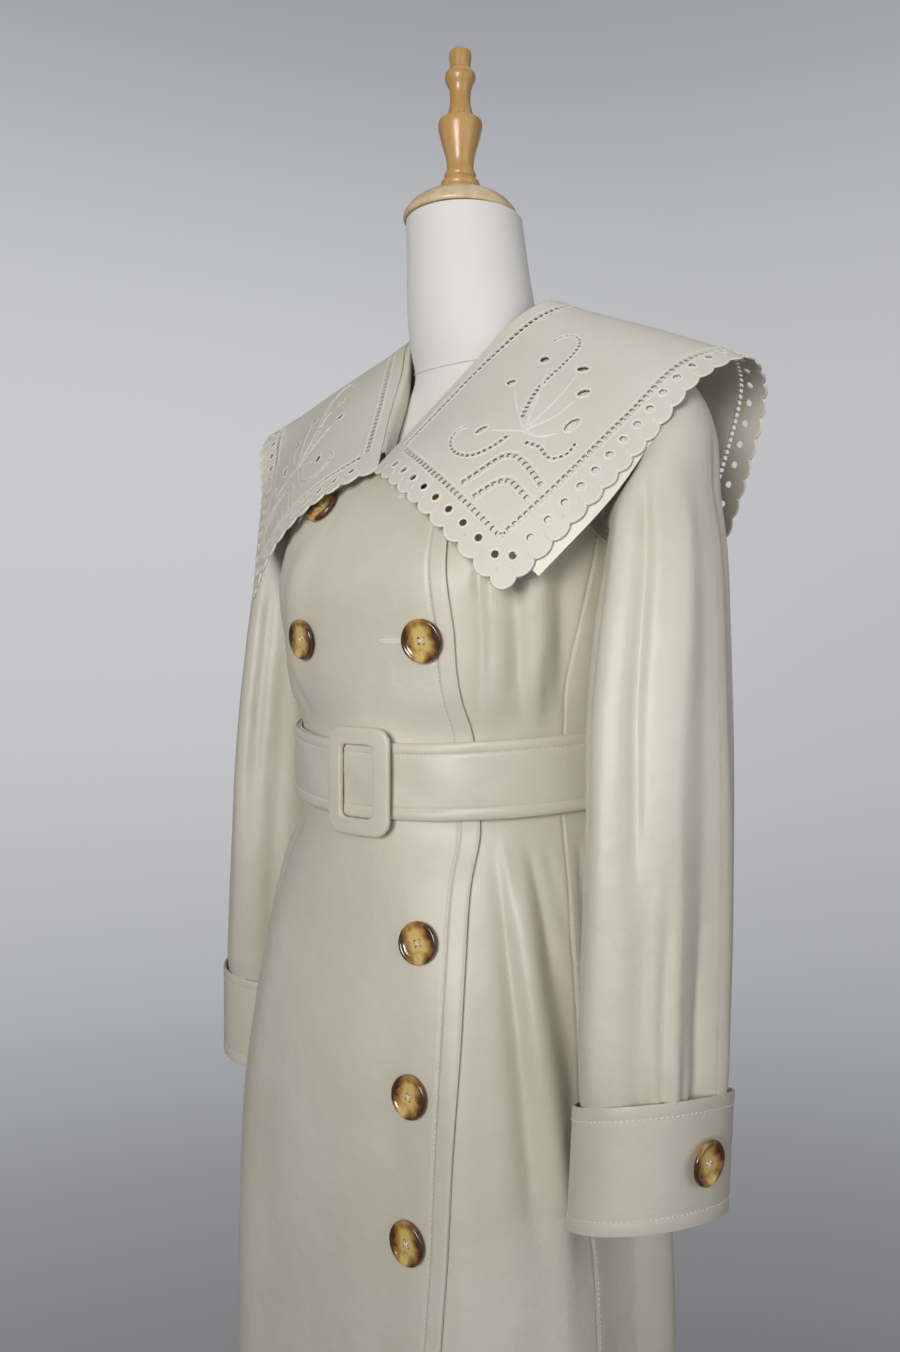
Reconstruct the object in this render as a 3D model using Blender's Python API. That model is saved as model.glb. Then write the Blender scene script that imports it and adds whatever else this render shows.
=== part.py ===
"""Trench coat with a cutwork cape collar, on a limbless dress form with a round stand.

Metres, +Z up. The front of the coat faces -Y and the wearer's left is +X. The origin is
the centre of the underside of the stand. Every cloth piece is a closed wall whose points
are worked out from the section tables below.
"""
import math

import bpy
import numpy as np
from mathutils import Vector
from mathutils.geometry import delaunay_2d_cdt

# ---------------------------------------------------------------- cloth thicknesses
CLOTH = 0.0016
SEAM = 0.0003
LAYER = CLOTH + SEAM
LAP_LIFT = CLOTH + 0.0017
COLLAR_CLOTH = 0.0012
SEAM_DEG = 0.12

# ---------------------------------------------------------------- heights of the coat
HEM_Z = 0.300
BUST_Z = 1.190
NECK_FRONT_Z = 1.262

# One row for each level: height, half width, depth to the front, depth to the back,
# squareness of the front half, sideways and fore-and-aft shift of the middle.
# Columns: z, side, front, back, square, mid x, mid y.
BODY_SECTIONS = (
    (0.300, 0.186, 0.154, 0.164, 2.8, -0.004, 0.000),
    (0.520, 0.183, 0.153, 0.160, 2.9, -0.004, 0.000),
    (0.660, 0.180, 0.150, 0.156, 3.0, -0.004, 0.000),
    (0.770, 0.175, 0.147, 0.149, 3.0, -0.004, 0.000),
    (0.840, 0.170, 0.142, 0.140, 2.8, -0.003, 0.000),
    (0.906, 0.162, 0.134, 0.130, 2.6, -0.002, 0.000),
    (0.958, 0.153, 0.1275, 0.119, 2.3, 0.000, 0.000),
    (0.992, 0.1448, 0.1204, 0.1088, 2.0, 0.001, 0.000),
    (1.030, 0.1440, 0.1200, 0.1080, 2.0, 0.001, 0.000),
    (1.070, 0.1448, 0.1204, 0.1088, 2.0, 0.001, 0.000),
    (1.092, 0.150, 0.1235, 0.114, 2.2, 0.000, 0.000),
    (1.134, 0.158, 0.127, 0.119, 2.3, 0.000, 0.000),
    (1.186, 0.164, 0.131, 0.121, 2.3, 0.000, 0.000),
    (1.222, 0.167, 0.118, 0.121, 2.3, 0.000, 0.001),
    (1.262, 0.170, 0.0960, 0.119, 2.2, 0.000, 0.003),
    (1.300, 0.174, 0.0705, 0.113, 2.1, 0.000, 0.008),
    (1.326, 0.182, 0.0530, 0.098, 2.0, 0.000, 0.014),
    (1.340, 0.182, 0.0470, 0.088, 2.0, 0.000, 0.016),
    (1.351, 0.152, 0.0400, 0.078, 2.0, 0.000, 0.018),
    (1.371, 0.106, 0.0300, 0.072, 2.0, 0.000, 0.020),
    (1.386, 0.0790, 0.0260, 0.071, 2.0, 0.000, 0.020),
    (1.412, 0.0775, 0.0200, 0.070, 2.0, 0.000, 0.020),
)

# Height of the neckline at an angle from the centre front.
# Columns: angle, z.
NECKLINE = (
    (0.0, 1.262),
    (5.9, 1.296),
    (11.8, 1.328),
    (19.6, 1.349),
    (37.6, 1.371),
    (67.0, 1.382),
    (90.0, 1.386),
    (120.0, 1.396),
    (150.0, 1.402),
    (180.0, 1.404),
)

# Folds of the body: angle at the top and the foot of the fold, heights of its ends,
# width in degrees and depth, outwards positive.
FOLD_FADE = 0.30
# Columns: top angle, foot angle, top z, foot z, width, depth.
BODY_FOLDS = (
    (41.0, 60.0, 0.995, 0.690, 5.5, -0.0058),
    (48.5, 70.0, 0.995, 0.670, 6.5, 0.0055),
    (57.0, 82.0, 0.995, 0.670, 7.0, -0.0050),
    (66.0, 70.0, 0.985, 0.250, 6.0, 0.0030),
    (58.0, 52.0, 0.700, 0.250, 9.0, -0.0050),
    (33.0, 38.0, 0.985, 0.250, 7.0, 0.0030),
    (15.0, 10.0, 0.980, 0.250, 9.0, -0.0030),
    (-22.0, -26.0, 0.985, 0.250, 8.0, 0.0030),
    (-44.0, -52.0, 0.985, 0.250, 7.0, -0.0050),
    (-60.0, -70.0, 0.985, 0.250, 7.0, 0.0060),
    (-84.0, -90.0, 0.985, 0.250, 8.0, -0.0060),
    (86.0, 92.0, 0.985, 0.250, 8.0, -0.0060),
    (104.0, 108.0, 0.990, 0.250, 8.0, 0.0080),
    (126.0, 130.0, 0.990, 0.250, 8.0, -0.0080),
    (150.0, 152.0, 0.990, 0.250, 8.0, 0.0080),
    (172.0, 171.0, 0.990, 0.250, 7.0, -0.0060),
    (-106.0, -110.0, 0.990, 0.250, 8.0, 0.0080),
    (-128.0, -132.0, 0.990, 0.250, 8.0, -0.0080),
    (-152.0, -154.0, 0.990, 0.250, 8.0, 0.0080),
    (-173.0, -172.0, 0.990, 0.250, 7.0, -0.0060),
    (-93.0, -93.0, 0.860, 0.580, 14.0, -0.0075),
    (43.0, 49.0, 1.225, 1.066, 5.0, -0.0050),
    (50.5, 57.5, 1.225, 1.066, 5.5, 0.0050),
    (61.0, 66.0, 1.215, 1.066, 5.5, -0.0045),
    (-12.0, -34.0, 1.230, 1.066, 6.0, 0.0030),
    (-40.0, -50.0, 1.220, 1.066, 5.0, -0.0040),
    (130.0, 138.0, 1.260, 1.066, 7.0, -0.0060),
    (152.0, 156.0, 1.260, 1.066, 7.0, 0.0050),
    (-130.0, -138.0, 1.260, 1.066, 7.0, -0.0060),
    (-152.0, -156.0, 1.260, 1.066, 7.0, 0.0050),
)

# The front that laps over: how far its edge stands beyond the centre at each height.
# Columns: z, beyond.
LAP = (
    (0.300, 0.1060),
    (0.650, 0.1075),
    (0.720, 0.1115),
    (0.790, 0.1120),
    (0.845, 0.1105),
    (0.907, 0.1060),
    (1.000, 0.0977),
    (1.060, 0.0938),
    (1.110, 0.0920),
    (1.150, 0.0928),
    (1.210, 0.0875),
    (1.262, 0.0800),
)
UNDERLAP_SHARE = 0.92

# Seams: angle from the centre front of the side panel's two edges.
# Columns: z, angle.
FRONT_SEAM = (
    (0.300, 79.0),
    (0.700, 79.0),
    (0.900, 73.0),
    (1.030, 69.0),
    (1.250, 70.0),
)
BACK_SEAM = 113.0

# Armhole, on the body's own angle and height.
ARMHOLE_ANGLE = 90.0
ARMHOLE_HALF_ANGLE = 27.0
ARMHOLE_Z = 1.2730
ARMHOLE_HALF_Z = 0.0700
ARMHOLE_INSET_DEG = 1.2
ARMHOLE_INSET = 0.0030
UNDERARM_DROP = 0.0042

BODY_LEVELS = (0.300, 0.440, 0.565, 0.680, 0.780, 0.860, 0.925, 0.972,
               1.005, 1.055, 1.085, 1.135, BUST_Z)
UPPER_ROWS = 6
RIGHT_FRONT_COLUMNS = 17
HIDDEN_COLUMNS = 5
SHOWN_COLUMNS = 13
HIDDEN_SHARE = 0.60
BACK_COLUMNS = 9
SIDE_COLUMNS = 7
UNDERARM_ROWS = 1

# ---------------------------------------------------------------- sleeves and cuffs
# One row for each ring under the armhole of the left sleeve: height, how far out and how
# far back its middle is, half widths outwards and fore and aft, and how far in degrees its
# outer side and its front side are tipped up.
# Columns: z, out, aft, half out, half aft, lean out, lean front.
SLEEVE_SECTIONS = (
    (1.264, 0.1820, 0.0180, 0.0620, 0.0540, 68.0, -20.0),
    (1.250, 0.1950, 0.0090, 0.0490, 0.0500, 46.0, -12.0),
    (1.226, 0.2045, -0.0025, 0.0375, 0.0480, 26.0, -4.0),
    (1.190, 0.2095, -0.0120, 0.0400, 0.0520, 12.0, 0.0),
    (1.140, 0.2120, -0.0240, 0.0440, 0.0585, 6.0, 0.0),
    (1.080, 0.2141, -0.0330, 0.0460, 0.0635, 5.0, 2.0),
    (1.010, 0.2184, -0.0400, 0.0460, 0.0640, 6.0, 4.0),
    (0.940, 0.2200, -0.0460, 0.0470, 0.0650, 9.0, 7.0),
    (0.880, 0.2205, -0.0505, 0.0475, 0.0655, 13.0, 9.0),
    (0.842, 0.2218, -0.0540, 0.0483, 0.0635, 17.0, 12.0),
    (0.822, 0.2219, -0.0550, 0.0470, 0.0598, 18.0, 12.5),
)
SLEEVE_SIDES = 24
# The right arm hangs straighter and further back: moves out, back and down at each ring.
# Columns: out, aft, down.
RIGHT_ARM = (
    (0.0000, 0.0000, 0.000),
    (0.0000, 0.0040, 0.000),
    (0.0020, 0.0100, 0.000),
    (0.0050, 0.0200, 0.002),
    (0.0060, 0.0280, 0.004),
    (0.0070, 0.0330, 0.007),
    (0.0070, 0.0370, 0.010),
    (0.0070, 0.0410, 0.014),
    (0.0080, 0.0440, 0.017),
    (0.0090, 0.0460, 0.020),
    (0.0090, 0.0460, 0.020),
)
RIGHT_ARM_LEAN = 0.40

# Folds along the sleeve: angle round the ring, width in degrees, depth, and the share of
# the sleeve's length where the fold is deepest.
# Columns: angle, width, depth, deepest.
SLEEVE_FOLDS = (
    (300.0, 10.0, -0.0050, 1.00),
    (322.0, 9.0, 0.0040, 0.85),
    (345.0, 9.0, -0.0055, 1.00),
    (8.0, 10.0, 0.0045, 0.90),
    (35.0, 10.0, -0.0050, 0.95),
    (62.0, 11.0, 0.0040, 0.80),
    (95.0, 11.0, -0.0050, 1.00),
    (130.0, 12.0, 0.0035, 0.80),
    (165.0, 12.0, -0.0035, 0.90),
    (225.0, 12.0, -0.0035, 0.80),
    (262.0, 12.0, 0.0040, 0.70),
)

CUFF_TOP_ABOVE = 0.0060
CUFF_HEIGHT = 0.0810
CUFF_HALF_OUT = 0.0489
CUFF_HALF_AFT = 0.0624
CUFF_SLANT = (-0.0035, -0.0020)
CUFF_START = 66.0
CUFF_OVERLAP = 26.0
CUFF_RAMP = 60.0
CUFF_COLUMNS = 23
CUFF_BUTTON_ANGLE = -12.0

# ---------------------------------------------------------------- collar
PITCH = 0.016
OUTER_SCALLOPS = 40
FRONT_SCALLOPS = 10
TIP_NOTCH = 0.0160
TIP_BEYOND = 0.0005
TIP_STEPS = 8
# One row for each station along the outer edge, counted in scallops from the front tip to
# the centre back: neck edge, half way out and outer edge, and how far the outer edge of
# the far wing stands out and forward of its mirror image.
# Columns: count, neck, middle, edge, far out, far forward.
COLLAR_STATIONS = (
    (0.0, (0.000, -0.098, 1.2706), (0.074, -0.1225, 1.2325), (0.140, -0.113, 1.171),
     0.000, 0.000),
    (5.0, (0.026, -0.060, 1.321), (0.108, -0.084, 1.279), (0.184, -0.074, 1.2315),
     0.000, 0.000),
    (9.0, (0.046, -0.027, 1.364), (0.132, -0.033, 1.334), (0.203, -0.031, 1.278),
     0.012, 0.015),
    (13.0, (0.066, -0.001, 1.397), (0.152, 0.016, 1.371), (0.222, 0.0095, 1.326),
     0.009, 0.040),
    (16.0, (0.077, 0.020, 1.411), (0.161, 0.052, 1.379), (0.235, 0.052, 1.345),
     0.004, 0.052),
    (19.0, (0.077, 0.044, 1.416), (0.152, 0.086, 1.374), (0.225, 0.100, 1.3335),
     0.000, 0.050),
    (23.4, (0.065, 0.068, 1.420), (0.134, 0.112, 1.354), (0.197, 0.129, 1.274),
     0.000, 0.026),
    (27.7, (0.046, 0.082, 1.423), (0.110, 0.126, 1.325), (0.170, 0.134, 1.208),
     0.000, 0.010),
    (30.6, (0.031, 0.087, 1.424), (0.086, 0.132, 1.306), (0.150, 0.136, 1.165),
     0.000, 0.004),
    (35.0, (0.013, 0.090, 1.425), (0.044, 0.136, 1.300), (0.078, 0.143, 1.156),
     0.000, 0.000),
    (40.0, (0.000, 0.091, 1.425), (0.000, 0.137, 1.298), (0.000, 0.146, 1.152),
     0.000, 0.000),
)
CENTRE_BACK = float(OUTER_SCALLOPS)
SCALLOP_BULGE = 0.0042
SCALLOP_STEPS = 4
EYELET_RADIUS = 0.0030
EYELET_INSET = 0.011
EYELET_SIDES = 6
SPRAY_SIDES = 7

# Open eyelets of the spray on each wing: scallops along, share of the width out from the
# neck edge, half length and half width, and the turn of the long axis in degrees.
# Columns: count, share, half long, half wide, turn.
SPRAY_EYELETS = (
    (5.1, 0.40, 0.0052, 0.0030, 20.0),
    (7.6, 0.32, 0.0040, 0.0033, 70.0),
    (9.3, 0.36, 0.0046, 0.0036, 110.0),
    (9.6, 0.56, 0.0046, 0.0034, 60.0),
    (8.6, 0.66, 0.0050, 0.0034, 30.0),
    (7.2, 0.73, 0.0075, 0.0038, 8.0),
)

# Outer edge of the plain under-collar, as a share of the wing's width at each station.
# Columns: count, share.
UNDER_EDGE = (
    (1.3, 1.060),
    (6.0, 1.055),
    (9.0, 1.025),
    (12.0, 0.975),
    (16.0, 0.900),
    (20.0, 0.880),
    (28.0, 0.885),
    (32.0, 0.890),
    (40.0, 0.890),
)
UNDER_START = 1.3
UNDER_STEPS = 19
UNDER_GAP = 0.0017
UNDER_SAG = 0.0028
UNDER_SAG_START = 7.0
UNDER_SAG_FULL = 11.0
UNDER_SAG_FROM = 0.90
UNDER_SAG_TO = 0.62
UNDER_ROWS = 4
UNDER_NECK_SHARE = 0.03
STAND_START = 4.5
STAND_STEPS = 12
STAND_DROP = 0.016
STAND_IN = 0.0025
STAND_BELOW = 0.0016
STAND_INSIDE = 0.0022

# ---------------------------------------------------------------- belt and buckle
BELT_Z = 1.029
BELT_WIDTH = 0.057
BELT_SIDE_RISE = 0.009
BELT_THICK = 0.0030
BELT_CLEAR = 0.0010
TAIL_THICK = 0.0026
BELT_LIFT = LAP_LIFT + CLOTH + SEAM
TAIL_LIFT = BELT_LIFT + BELT_THICK + SEAM
BUCKLE_LIFT = TAIL_LIFT + TAIL_THICK + 3.0 * SEAM
TAIL_FROM = -96.0
TAIL_TO = 6.5
BELT_SIDES = 40
BUCKLE_X = 0.0140
BUCKLE_Z = 1.0285
BUCKLE_WIDTH = 0.056
BUCKLE_HEIGHT = 0.081
BUCKLE_WINDOW = (0.029, 0.0600)
BUCKLE_THICK = 0.0045
BUCKLE_CORNER = 0.0125
WINDOW_CORNER = 0.0060
BUCKLE_STEPS = 3

# ---------------------------------------------------------------- buttons
BUTTON_RADIUS = 0.0170
BUTTON_SIDES = 12
BUTTON_PROFILE = (
    (0.0000, 0.0030),
    (0.0120, 0.0034),
    (0.0160, 0.0046),
    (0.0170, 0.0028),
    (0.0145, 0.0005),
    (0.0000, 0.0004),
)
# One row for each button of the fronts: how far to the left of the centre, and height.
# Columns: name, x, z.
FRONT_BUTTONS = (
    ("button_collar_right", -0.0520, 1.2400),
    ("button_collar_left", 0.0700, 1.2420),
    ("button_chest_right", -0.0516, 1.1360),
    ("button_chest_left", 0.0715, 1.1350),
    ("button_column_1", 0.0744, 0.9178),
    ("button_column_2", 0.0794, 0.8140),
    ("button_column_3", 0.0825, 0.7151),
    ("button_column_4", 0.0825, 0.6135),
)

# ---------------------------------------------------------------- dress form and stand
# Columns: z, side, front, back, mid y.
FORM_SECTIONS = (
    (0.800, 0.142, 0.100, 0.106, 0.000),
    (0.860, 0.150, 0.108, 0.112, 0.000),
    (0.930, 0.142, 0.102, 0.106, 0.000),
    (1.020, 0.119, 0.091, 0.091, 0.000),
    (1.110, 0.128, 0.099, 0.096, 0.000),
    (1.186, 0.142, 0.111, 0.101, 0.000),
    (1.225, 0.144, 0.097, 0.101, 0.002),
    (1.262, 0.142, 0.078, 0.101, 0.004),
    (1.300, 0.130, 0.0595, 0.094, 0.008),
    (1.332, 0.078, 0.0470, 0.072, 0.013),
    (1.358, 0.0555, 0.0440, 0.060, 0.014),
    (1.385, 0.0555, 0.0510, 0.0560, 0.014),
    (1.410, 0.0560, 0.0550, 0.0555, 0.013),
    (1.450, 0.0530, 0.0525, 0.0525, 0.008),
    (1.492, 0.0500, 0.0500, 0.0500, 0.003),
)
FORM_SIDES = 26
CAP_PROFILE = (
    (0.0000, 1.4925),
    (0.0480, 1.4925),
    (0.0488, 1.4950),
    (0.0470, 1.5000),
    (0.0380, 1.5080),
    (0.0260, 1.5140),
    (0.0140, 1.5180),
    (0.0000, 1.5185),
)
FINIAL_PROFILE = (
    (0.0000, 1.5190),
    (0.0155, 1.5190),
    (0.0170, 1.5235),
    (0.0125, 1.5270),
    (0.0138, 1.5310),
    (0.0118, 1.5355),
    (0.0117, 1.5430),
    (0.0150, 1.5560),
    (0.0187, 1.5700),
    (0.0187, 1.5760),
    (0.0110, 1.5850),
    (0.0086, 1.5930),
    (0.0092, 1.6060),
    (0.0129, 1.6120),
    (0.0129, 1.6180),
    (0.0088, 1.6230),
    (0.0096, 1.6330),
    (0.0062, 1.6390),
    (0.0000, 1.6400),
)
NECK_AXIS_Y = -0.002
TURNED_SIDES = 16
STAND_PROFILE = (
    (0.0000, 0.0000),
    (0.1770, 0.0000),
    (0.1770, 0.0080),
    (0.1500, 0.0120),
    (0.0260, 0.0160),
    (0.0240, 0.0240),
    (0.0125, 0.0260),
    (0.0125, 0.7985),
    (0.0000, 0.7985),
)
STAND_SIDES = 26

# ---------------------------------------------------------------- finishes
FINISHES = {
    "satin_cloth": ("#CFCABC", 0.55, 0.0),
    "embroidered_cloth": ("#D3CEC0", 0.60, 0.0),
    "form_white": ("#E9E7E2", 0.62, 0.0),
    "turned_wood": ("#D9AE6C", 0.38, 0.0),
    "horn_button": ("#9A6A2C", 0.22, 0.0),
    "painted_stand": ("#E4E2DD", 0.40, 0.0),
}


def clear_scene():
    """Remove every object, so that the model is all there is."""
    for obj in list(bpy.data.objects):
        bpy.data.objects.remove(obj, do_unlink=True)


def srgb_channel(value):
    """Turn one sRGB channel from 0 to 1 into a linear one."""
    if value <= 0.04045:
        return value / 12.92
    return ((value + 0.055) / 1.055) ** 2.4


def finish(name):
    """Return the named finish as a Principled material, made once."""
    if name in bpy.data.materials:
        return bpy.data.materials[name]
    code, roughness, metallic = FINISHES[name]
    colour = [srgb_channel(int(code[i:i + 2], 16) / 255.0) for i in (1, 3, 5)]
    material = bpy.data.materials.new(name)
    material.use_nodes = True
    shader = material.node_tree.nodes["Principled BSDF"]
    shader.inputs["Base Color"].default_value = (*colour, 1.0)
    shader.inputs["Roughness"].default_value = roughness
    shader.inputs["Metallic"].default_value = metallic
    return material


def signed_volume(points, faces):
    """Return six times the signed volume that the faces enclose."""
    total = 0.0
    for face in faces:
        a = points[face[0]]
        for b, c in zip(face[1:-1], face[2:]):
            total += float(np.dot(a, np.cross(points[b], points[c])))
    return total


def add_solid(name, points, faces, finish_name):
    """Make one object from points and faces, turned so that its faces point out."""
    points = np.asarray(points, dtype=float)
    if signed_volume(points, faces) < 0.0:
        faces = [tuple(reversed(face)) for face in faces]
    mesh = bpy.data.meshes.new(name)
    mesh.from_pydata([tuple(p) for p in points], [], [tuple(f) for f in faces])
    mesh.materials.append(finish(finish_name))
    mesh.shade_smooth()
    mesh.set_sharp_from_angle(angle=math.radians(40.0))
    obj = bpy.data.objects.new(name, mesh)
    bpy.context.collection.objects.link(obj)
    return obj


def table_column(rows, index):
    """Return one column of a table as an array."""
    return np.array([row[index] for row in rows], dtype=float)


def smooth_column(knots, values, at):
    """Read a smooth curve through the knots, by cubic pieces with mean slopes."""
    at = np.asarray(at, dtype=float)
    gaps = np.diff(knots)
    slopes = np.diff(values) / gaps
    tangents = np.empty(len(knots))
    tangents[0] = slopes[0]
    tangents[-1] = slopes[-1]
    tangents[1:-1] = (slopes[:-1] * gaps[1:] + slopes[1:] * gaps[:-1]) / (gaps[1:] + gaps[:-1])
    i = np.clip(np.searchsorted(knots, at) - 1, 0, len(gaps) - 1)
    h = gaps[i]
    t = (at - knots[i]) / h
    inside = ((2 * t ** 3 - 3 * t ** 2 + 1) * values[i] + (t ** 3 - 2 * t ** 2 + t) * h * tangents[i]
              + (3 * t ** 2 - 2 * t ** 3) * values[i + 1] + (t ** 3 - t ** 2) * h * tangents[i + 1])
    before = values[0] + (at - knots[0]) * tangents[0]
    after = values[-1] + (at - knots[-1]) * tangents[-1]
    return np.where(at < knots[0], before, np.where(at > knots[-1], after, inside))


def read_table(rows, index, at):
    """Read one column of a section table at the given heights or counts."""
    return smooth_column(table_column(rows, 0), table_column(rows, index), at)


def smooth_step(x):
    """Rise smoothly from 0 to 1 as x does."""
    x = np.clip(x, 0.0, 1.0)
    return x * x * (3.0 - 2.0 * x)


# ---------------------------------------------------------------- the coat's body
def fold_depth(angle, z):
    """Return how far the folds move the body outwards at an angle and a height."""
    total = np.zeros(np.broadcast(angle, z).shape)
    for top_angle, foot_angle, top_z, foot_z, width, depth in BODY_FOLDS:
        share = np.clip((top_z - z) / (top_z - foot_z), 0.0, 1.0)
        middle = top_angle + (foot_angle - top_angle) * share
        spread = width * (0.7 + 0.5 * share)
        away = (angle - middle + 180.0) % 360.0 - 180.0
        start = smooth_step((top_z - z) / (FOLD_FADE * (top_z - foot_z)))
        end = smooth_step((z - foot_z) / (FOLD_FADE * (top_z - foot_z)))
        total = total + depth * start * end * np.exp(-(away / spread) ** 2)
    return total


def body_base(angle, z):
    """Return points on the inner face of the coat's body."""
    angle, z = np.broadcast_arrays(np.asarray(angle, float), np.asarray(z, float))
    side, front, back, square, mid_x, mid_y = (
        read_table(BODY_SECTIONS, i, z) for i in range(1, 7))
    sine = np.sin(np.radians(angle))
    cosine = np.cos(np.radians(angle))
    facing = cosine > 0.0
    power = np.where(facing, 2.0 / square, 1.0)
    x = mid_x + side * np.sign(sine) * np.abs(sine) ** power
    depth = np.where(facing, front, back)
    y = mid_y - depth * np.sign(cosine) * np.abs(cosine) ** power
    return np.stack([x, y, z], axis=-1)


def normals_of(surface, u, v, step_u, step_v):
    """Return unit normals of a surface of two numbers, by differences."""
    along = surface(u + step_u, v) - surface(u - step_u, v)
    up = surface(u, v + step_v) - surface(u, v - step_v)
    normal = np.cross(along, up)
    return normal / np.linalg.norm(normal, axis=-1, keepdims=True)


def body_folded(angle, z):
    """Return points on the inner face of the body with its folds."""
    angle, z = np.broadcast_arrays(np.asarray(angle, float), np.asarray(z, float))
    outwards = normals_of(body_base, angle, z, 1.0, 0.004)
    return body_base(angle, z) + outwards * fold_depth(angle, z)[..., None]


def body_point(angle, z, lift):
    """Return points of the body moved out by lift."""
    angle, z = np.broadcast_arrays(np.asarray(angle, float), np.asarray(z, float))
    outwards = normals_of(body_folded, angle, z, 0.6, 0.003)
    lift = np.broadcast_to(lift, angle.shape)
    return body_folded(angle, z) + outwards * lift[..., None]


def angle_at_x(x, z):
    """Return the angle on the front half where the body reaches x at a height."""
    side, square, mid_x = (read_table(BODY_SECTIONS, i, z) for i in (1, 4, 5))
    share = np.clip((x - mid_x) / side, -1.0, 1.0)
    return np.degrees(np.arcsin(np.sign(share) * np.abs(share) ** (square / 2.0)))


def neckline_z(angle):
    """Return the height of the neckline at an angle from the centre front."""
    return np.interp(np.abs(angle), table_column(NECKLINE, 0), table_column(NECKLINE, 1))


def armhole_angle(z, side):
    """Return the angle of the armhole's front (-1) or back (+1) edge at a height."""
    share = np.clip((z - ARMHOLE_Z) / ARMHOLE_HALF_Z, -1.0, 1.0)
    return ARMHOLE_ANGLE + side * ARMHOLE_HALF_ANGLE * np.sqrt(1.0 - share ** 2)


def outer_angle(z, seam, side):
    """Return the angle of a front's or a back's outer edge: seam, armhole, shoulder."""
    z = np.asarray(z, float)
    armhole = armhole_angle(z, side)
    past_seam = (ARMHOLE_ANGLE - armhole) * side > (ARMHOLE_ANGLE - seam) * side
    under_arm = np.logical_and(z < ARMHOLE_Z, past_seam)
    edge = np.where(under_arm, seam, armhole)
    edge = np.where(z > ARMHOLE_Z + ARMHOLE_HALF_Z, ARMHOLE_ANGLE, edge)
    return np.where(z < ARMHOLE_Z - ARMHOLE_HALF_Z, seam, edge)


def wall_faces(rows, columns, wrap):
    """Return the faces of a closed wall whose outer grid comes before its inner one."""
    count = rows * columns
    faces = []
    spans = columns if wrap else columns - 1
    for i in range(rows - 1):
        for j in range(spans):
            k = (j + 1) % columns
            quad = (i * columns + j, i * columns + k, (i + 1) * columns + k, (i + 1) * columns + j)
            faces.append(quad)
            faces.append(tuple(q + count for q in reversed(quad)))
    for i in (0, rows - 1):
        for j in range(spans):
            k = (j + 1) % columns
            rim = (i * columns + j, i * columns + k)
            quad = (rim[1], rim[0], rim[0] + count, rim[1] + count)
            faces.append(quad if i == 0 else tuple(reversed(quad)))
    if not wrap:
        for j in (0, columns - 1):
            for i in range(rows - 1):
                rim = (i * columns + j, (i + 1) * columns + j)
                quad = (rim[0], rim[1], rim[1] + count, rim[0] + count)
                faces.append(quad if j == 0 else tuple(reversed(quad)))
    return faces


def split_faces(faces):
    """Split four-sided faces into triangles, alike on both sides of a wall."""
    triangles = []
    for face in faces:
        first = face.index(min(face))
        a, b, c, d = face[first:] + face[:first]
        triangles += [(a, b, c), (a, c, d)]
    return triangles


def wall(name, outer, inner, finish_name, wrap=False):
    """Make a closed wall from an outer and an inner grid of points."""
    rows, columns = outer.shape[:2]
    points = np.concatenate([outer.reshape(-1, 3), inner.reshape(-1, 3)])
    faces = split_faces(wall_faces(rows, columns, wrap))
    return add_solid(name, points, faces, finish_name)


def body_panel(name, shares, start_at, end_at, neck_at, lift_at):
    """Make one panel of the body from the hem to the neckline.

    shares are the places of its columns from 0 to 1, start_at and end_at give the angles
    of its two edges at a height, neck_at the height of its top at an angle, and lift_at
    how far its inner face stands off at an angle.
    """
    levels = np.array(BODY_LEVELS)
    columns = len(shares)
    top = np.full(columns, NECK_FRONT_Z)
    for _ in range(60):
        angle = start_at(top) + shares * (end_at(top) - start_at(top))
        top = 0.5 * top + 0.5 * neck_at(angle)
    rows = [np.full(columns, z) for z in levels]
    for i in range(1, UPPER_ROWS + 1):
        rows.append(BUST_Z + (top - BUST_Z) * i / UPPER_ROWS)
    z = np.array(rows)
    angle = start_at(z) + shares[None, :] * (end_at(z) - start_at(z))
    lift = lift_at(angle, z)
    wall(name, body_point(angle, z, lift + CLOTH), body_point(angle, z, lift), "satin_cloth")


def front_seam(z):
    """Return the angle of the seam between a front and its side panel at a height."""
    return np.interp(z, table_column(FRONT_SEAM, 0), table_column(FRONT_SEAM, 1))


def lap_angle(z, share=1.0):
    """Return the angle of the front edge at a height."""
    beyond = np.interp(z, table_column(LAP, 0), table_column(LAP, 1))
    return angle_at_x(beyond * share, z)


def front_neck(angle, hidden_side):
    """Return the neckline of a front, level on the side that the other front shares."""
    past = np.asarray(angle) * hidden_side > 0.0
    return np.where(past, NECK_FRONT_Z, neckline_z(angle))


def fronts():
    """Make the two fronts; the right one laps over the left one."""
    def over_lift(angle, z):
        hidden_edge = -lap_angle(z, UNDERLAP_SHARE)
        return LAP_LIFT * smooth_step((angle - hidden_edge + 12.0) / 8.0)

    def side_edge(z):
        return outer_angle(z, front_seam(z) - SEAM_DEG, -1.0) - SEAM_DEG

    hidden = np.linspace(0.0, HIDDEN_SHARE, HIDDEN_COLUMNS)
    shown = np.linspace(HIDDEN_SHARE, 1.0, SHOWN_COLUMNS + 1)[1:]
    body_panel(
        "right_front", np.linspace(0.0, 1.0, RIGHT_FRONT_COLUMNS),
        lambda z: -side_edge(z),
        lambda z: lap_angle(z),
        lambda angle: front_neck(angle, 1.0),
        over_lift)
    body_panel(
        "left_front", np.concatenate([hidden, shown]),
        lambda z: -lap_angle(z, UNDERLAP_SHARE),
        side_edge,
        lambda angle: front_neck(angle, -1.0),
        lambda angle, z: np.zeros(angle.shape))


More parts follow.
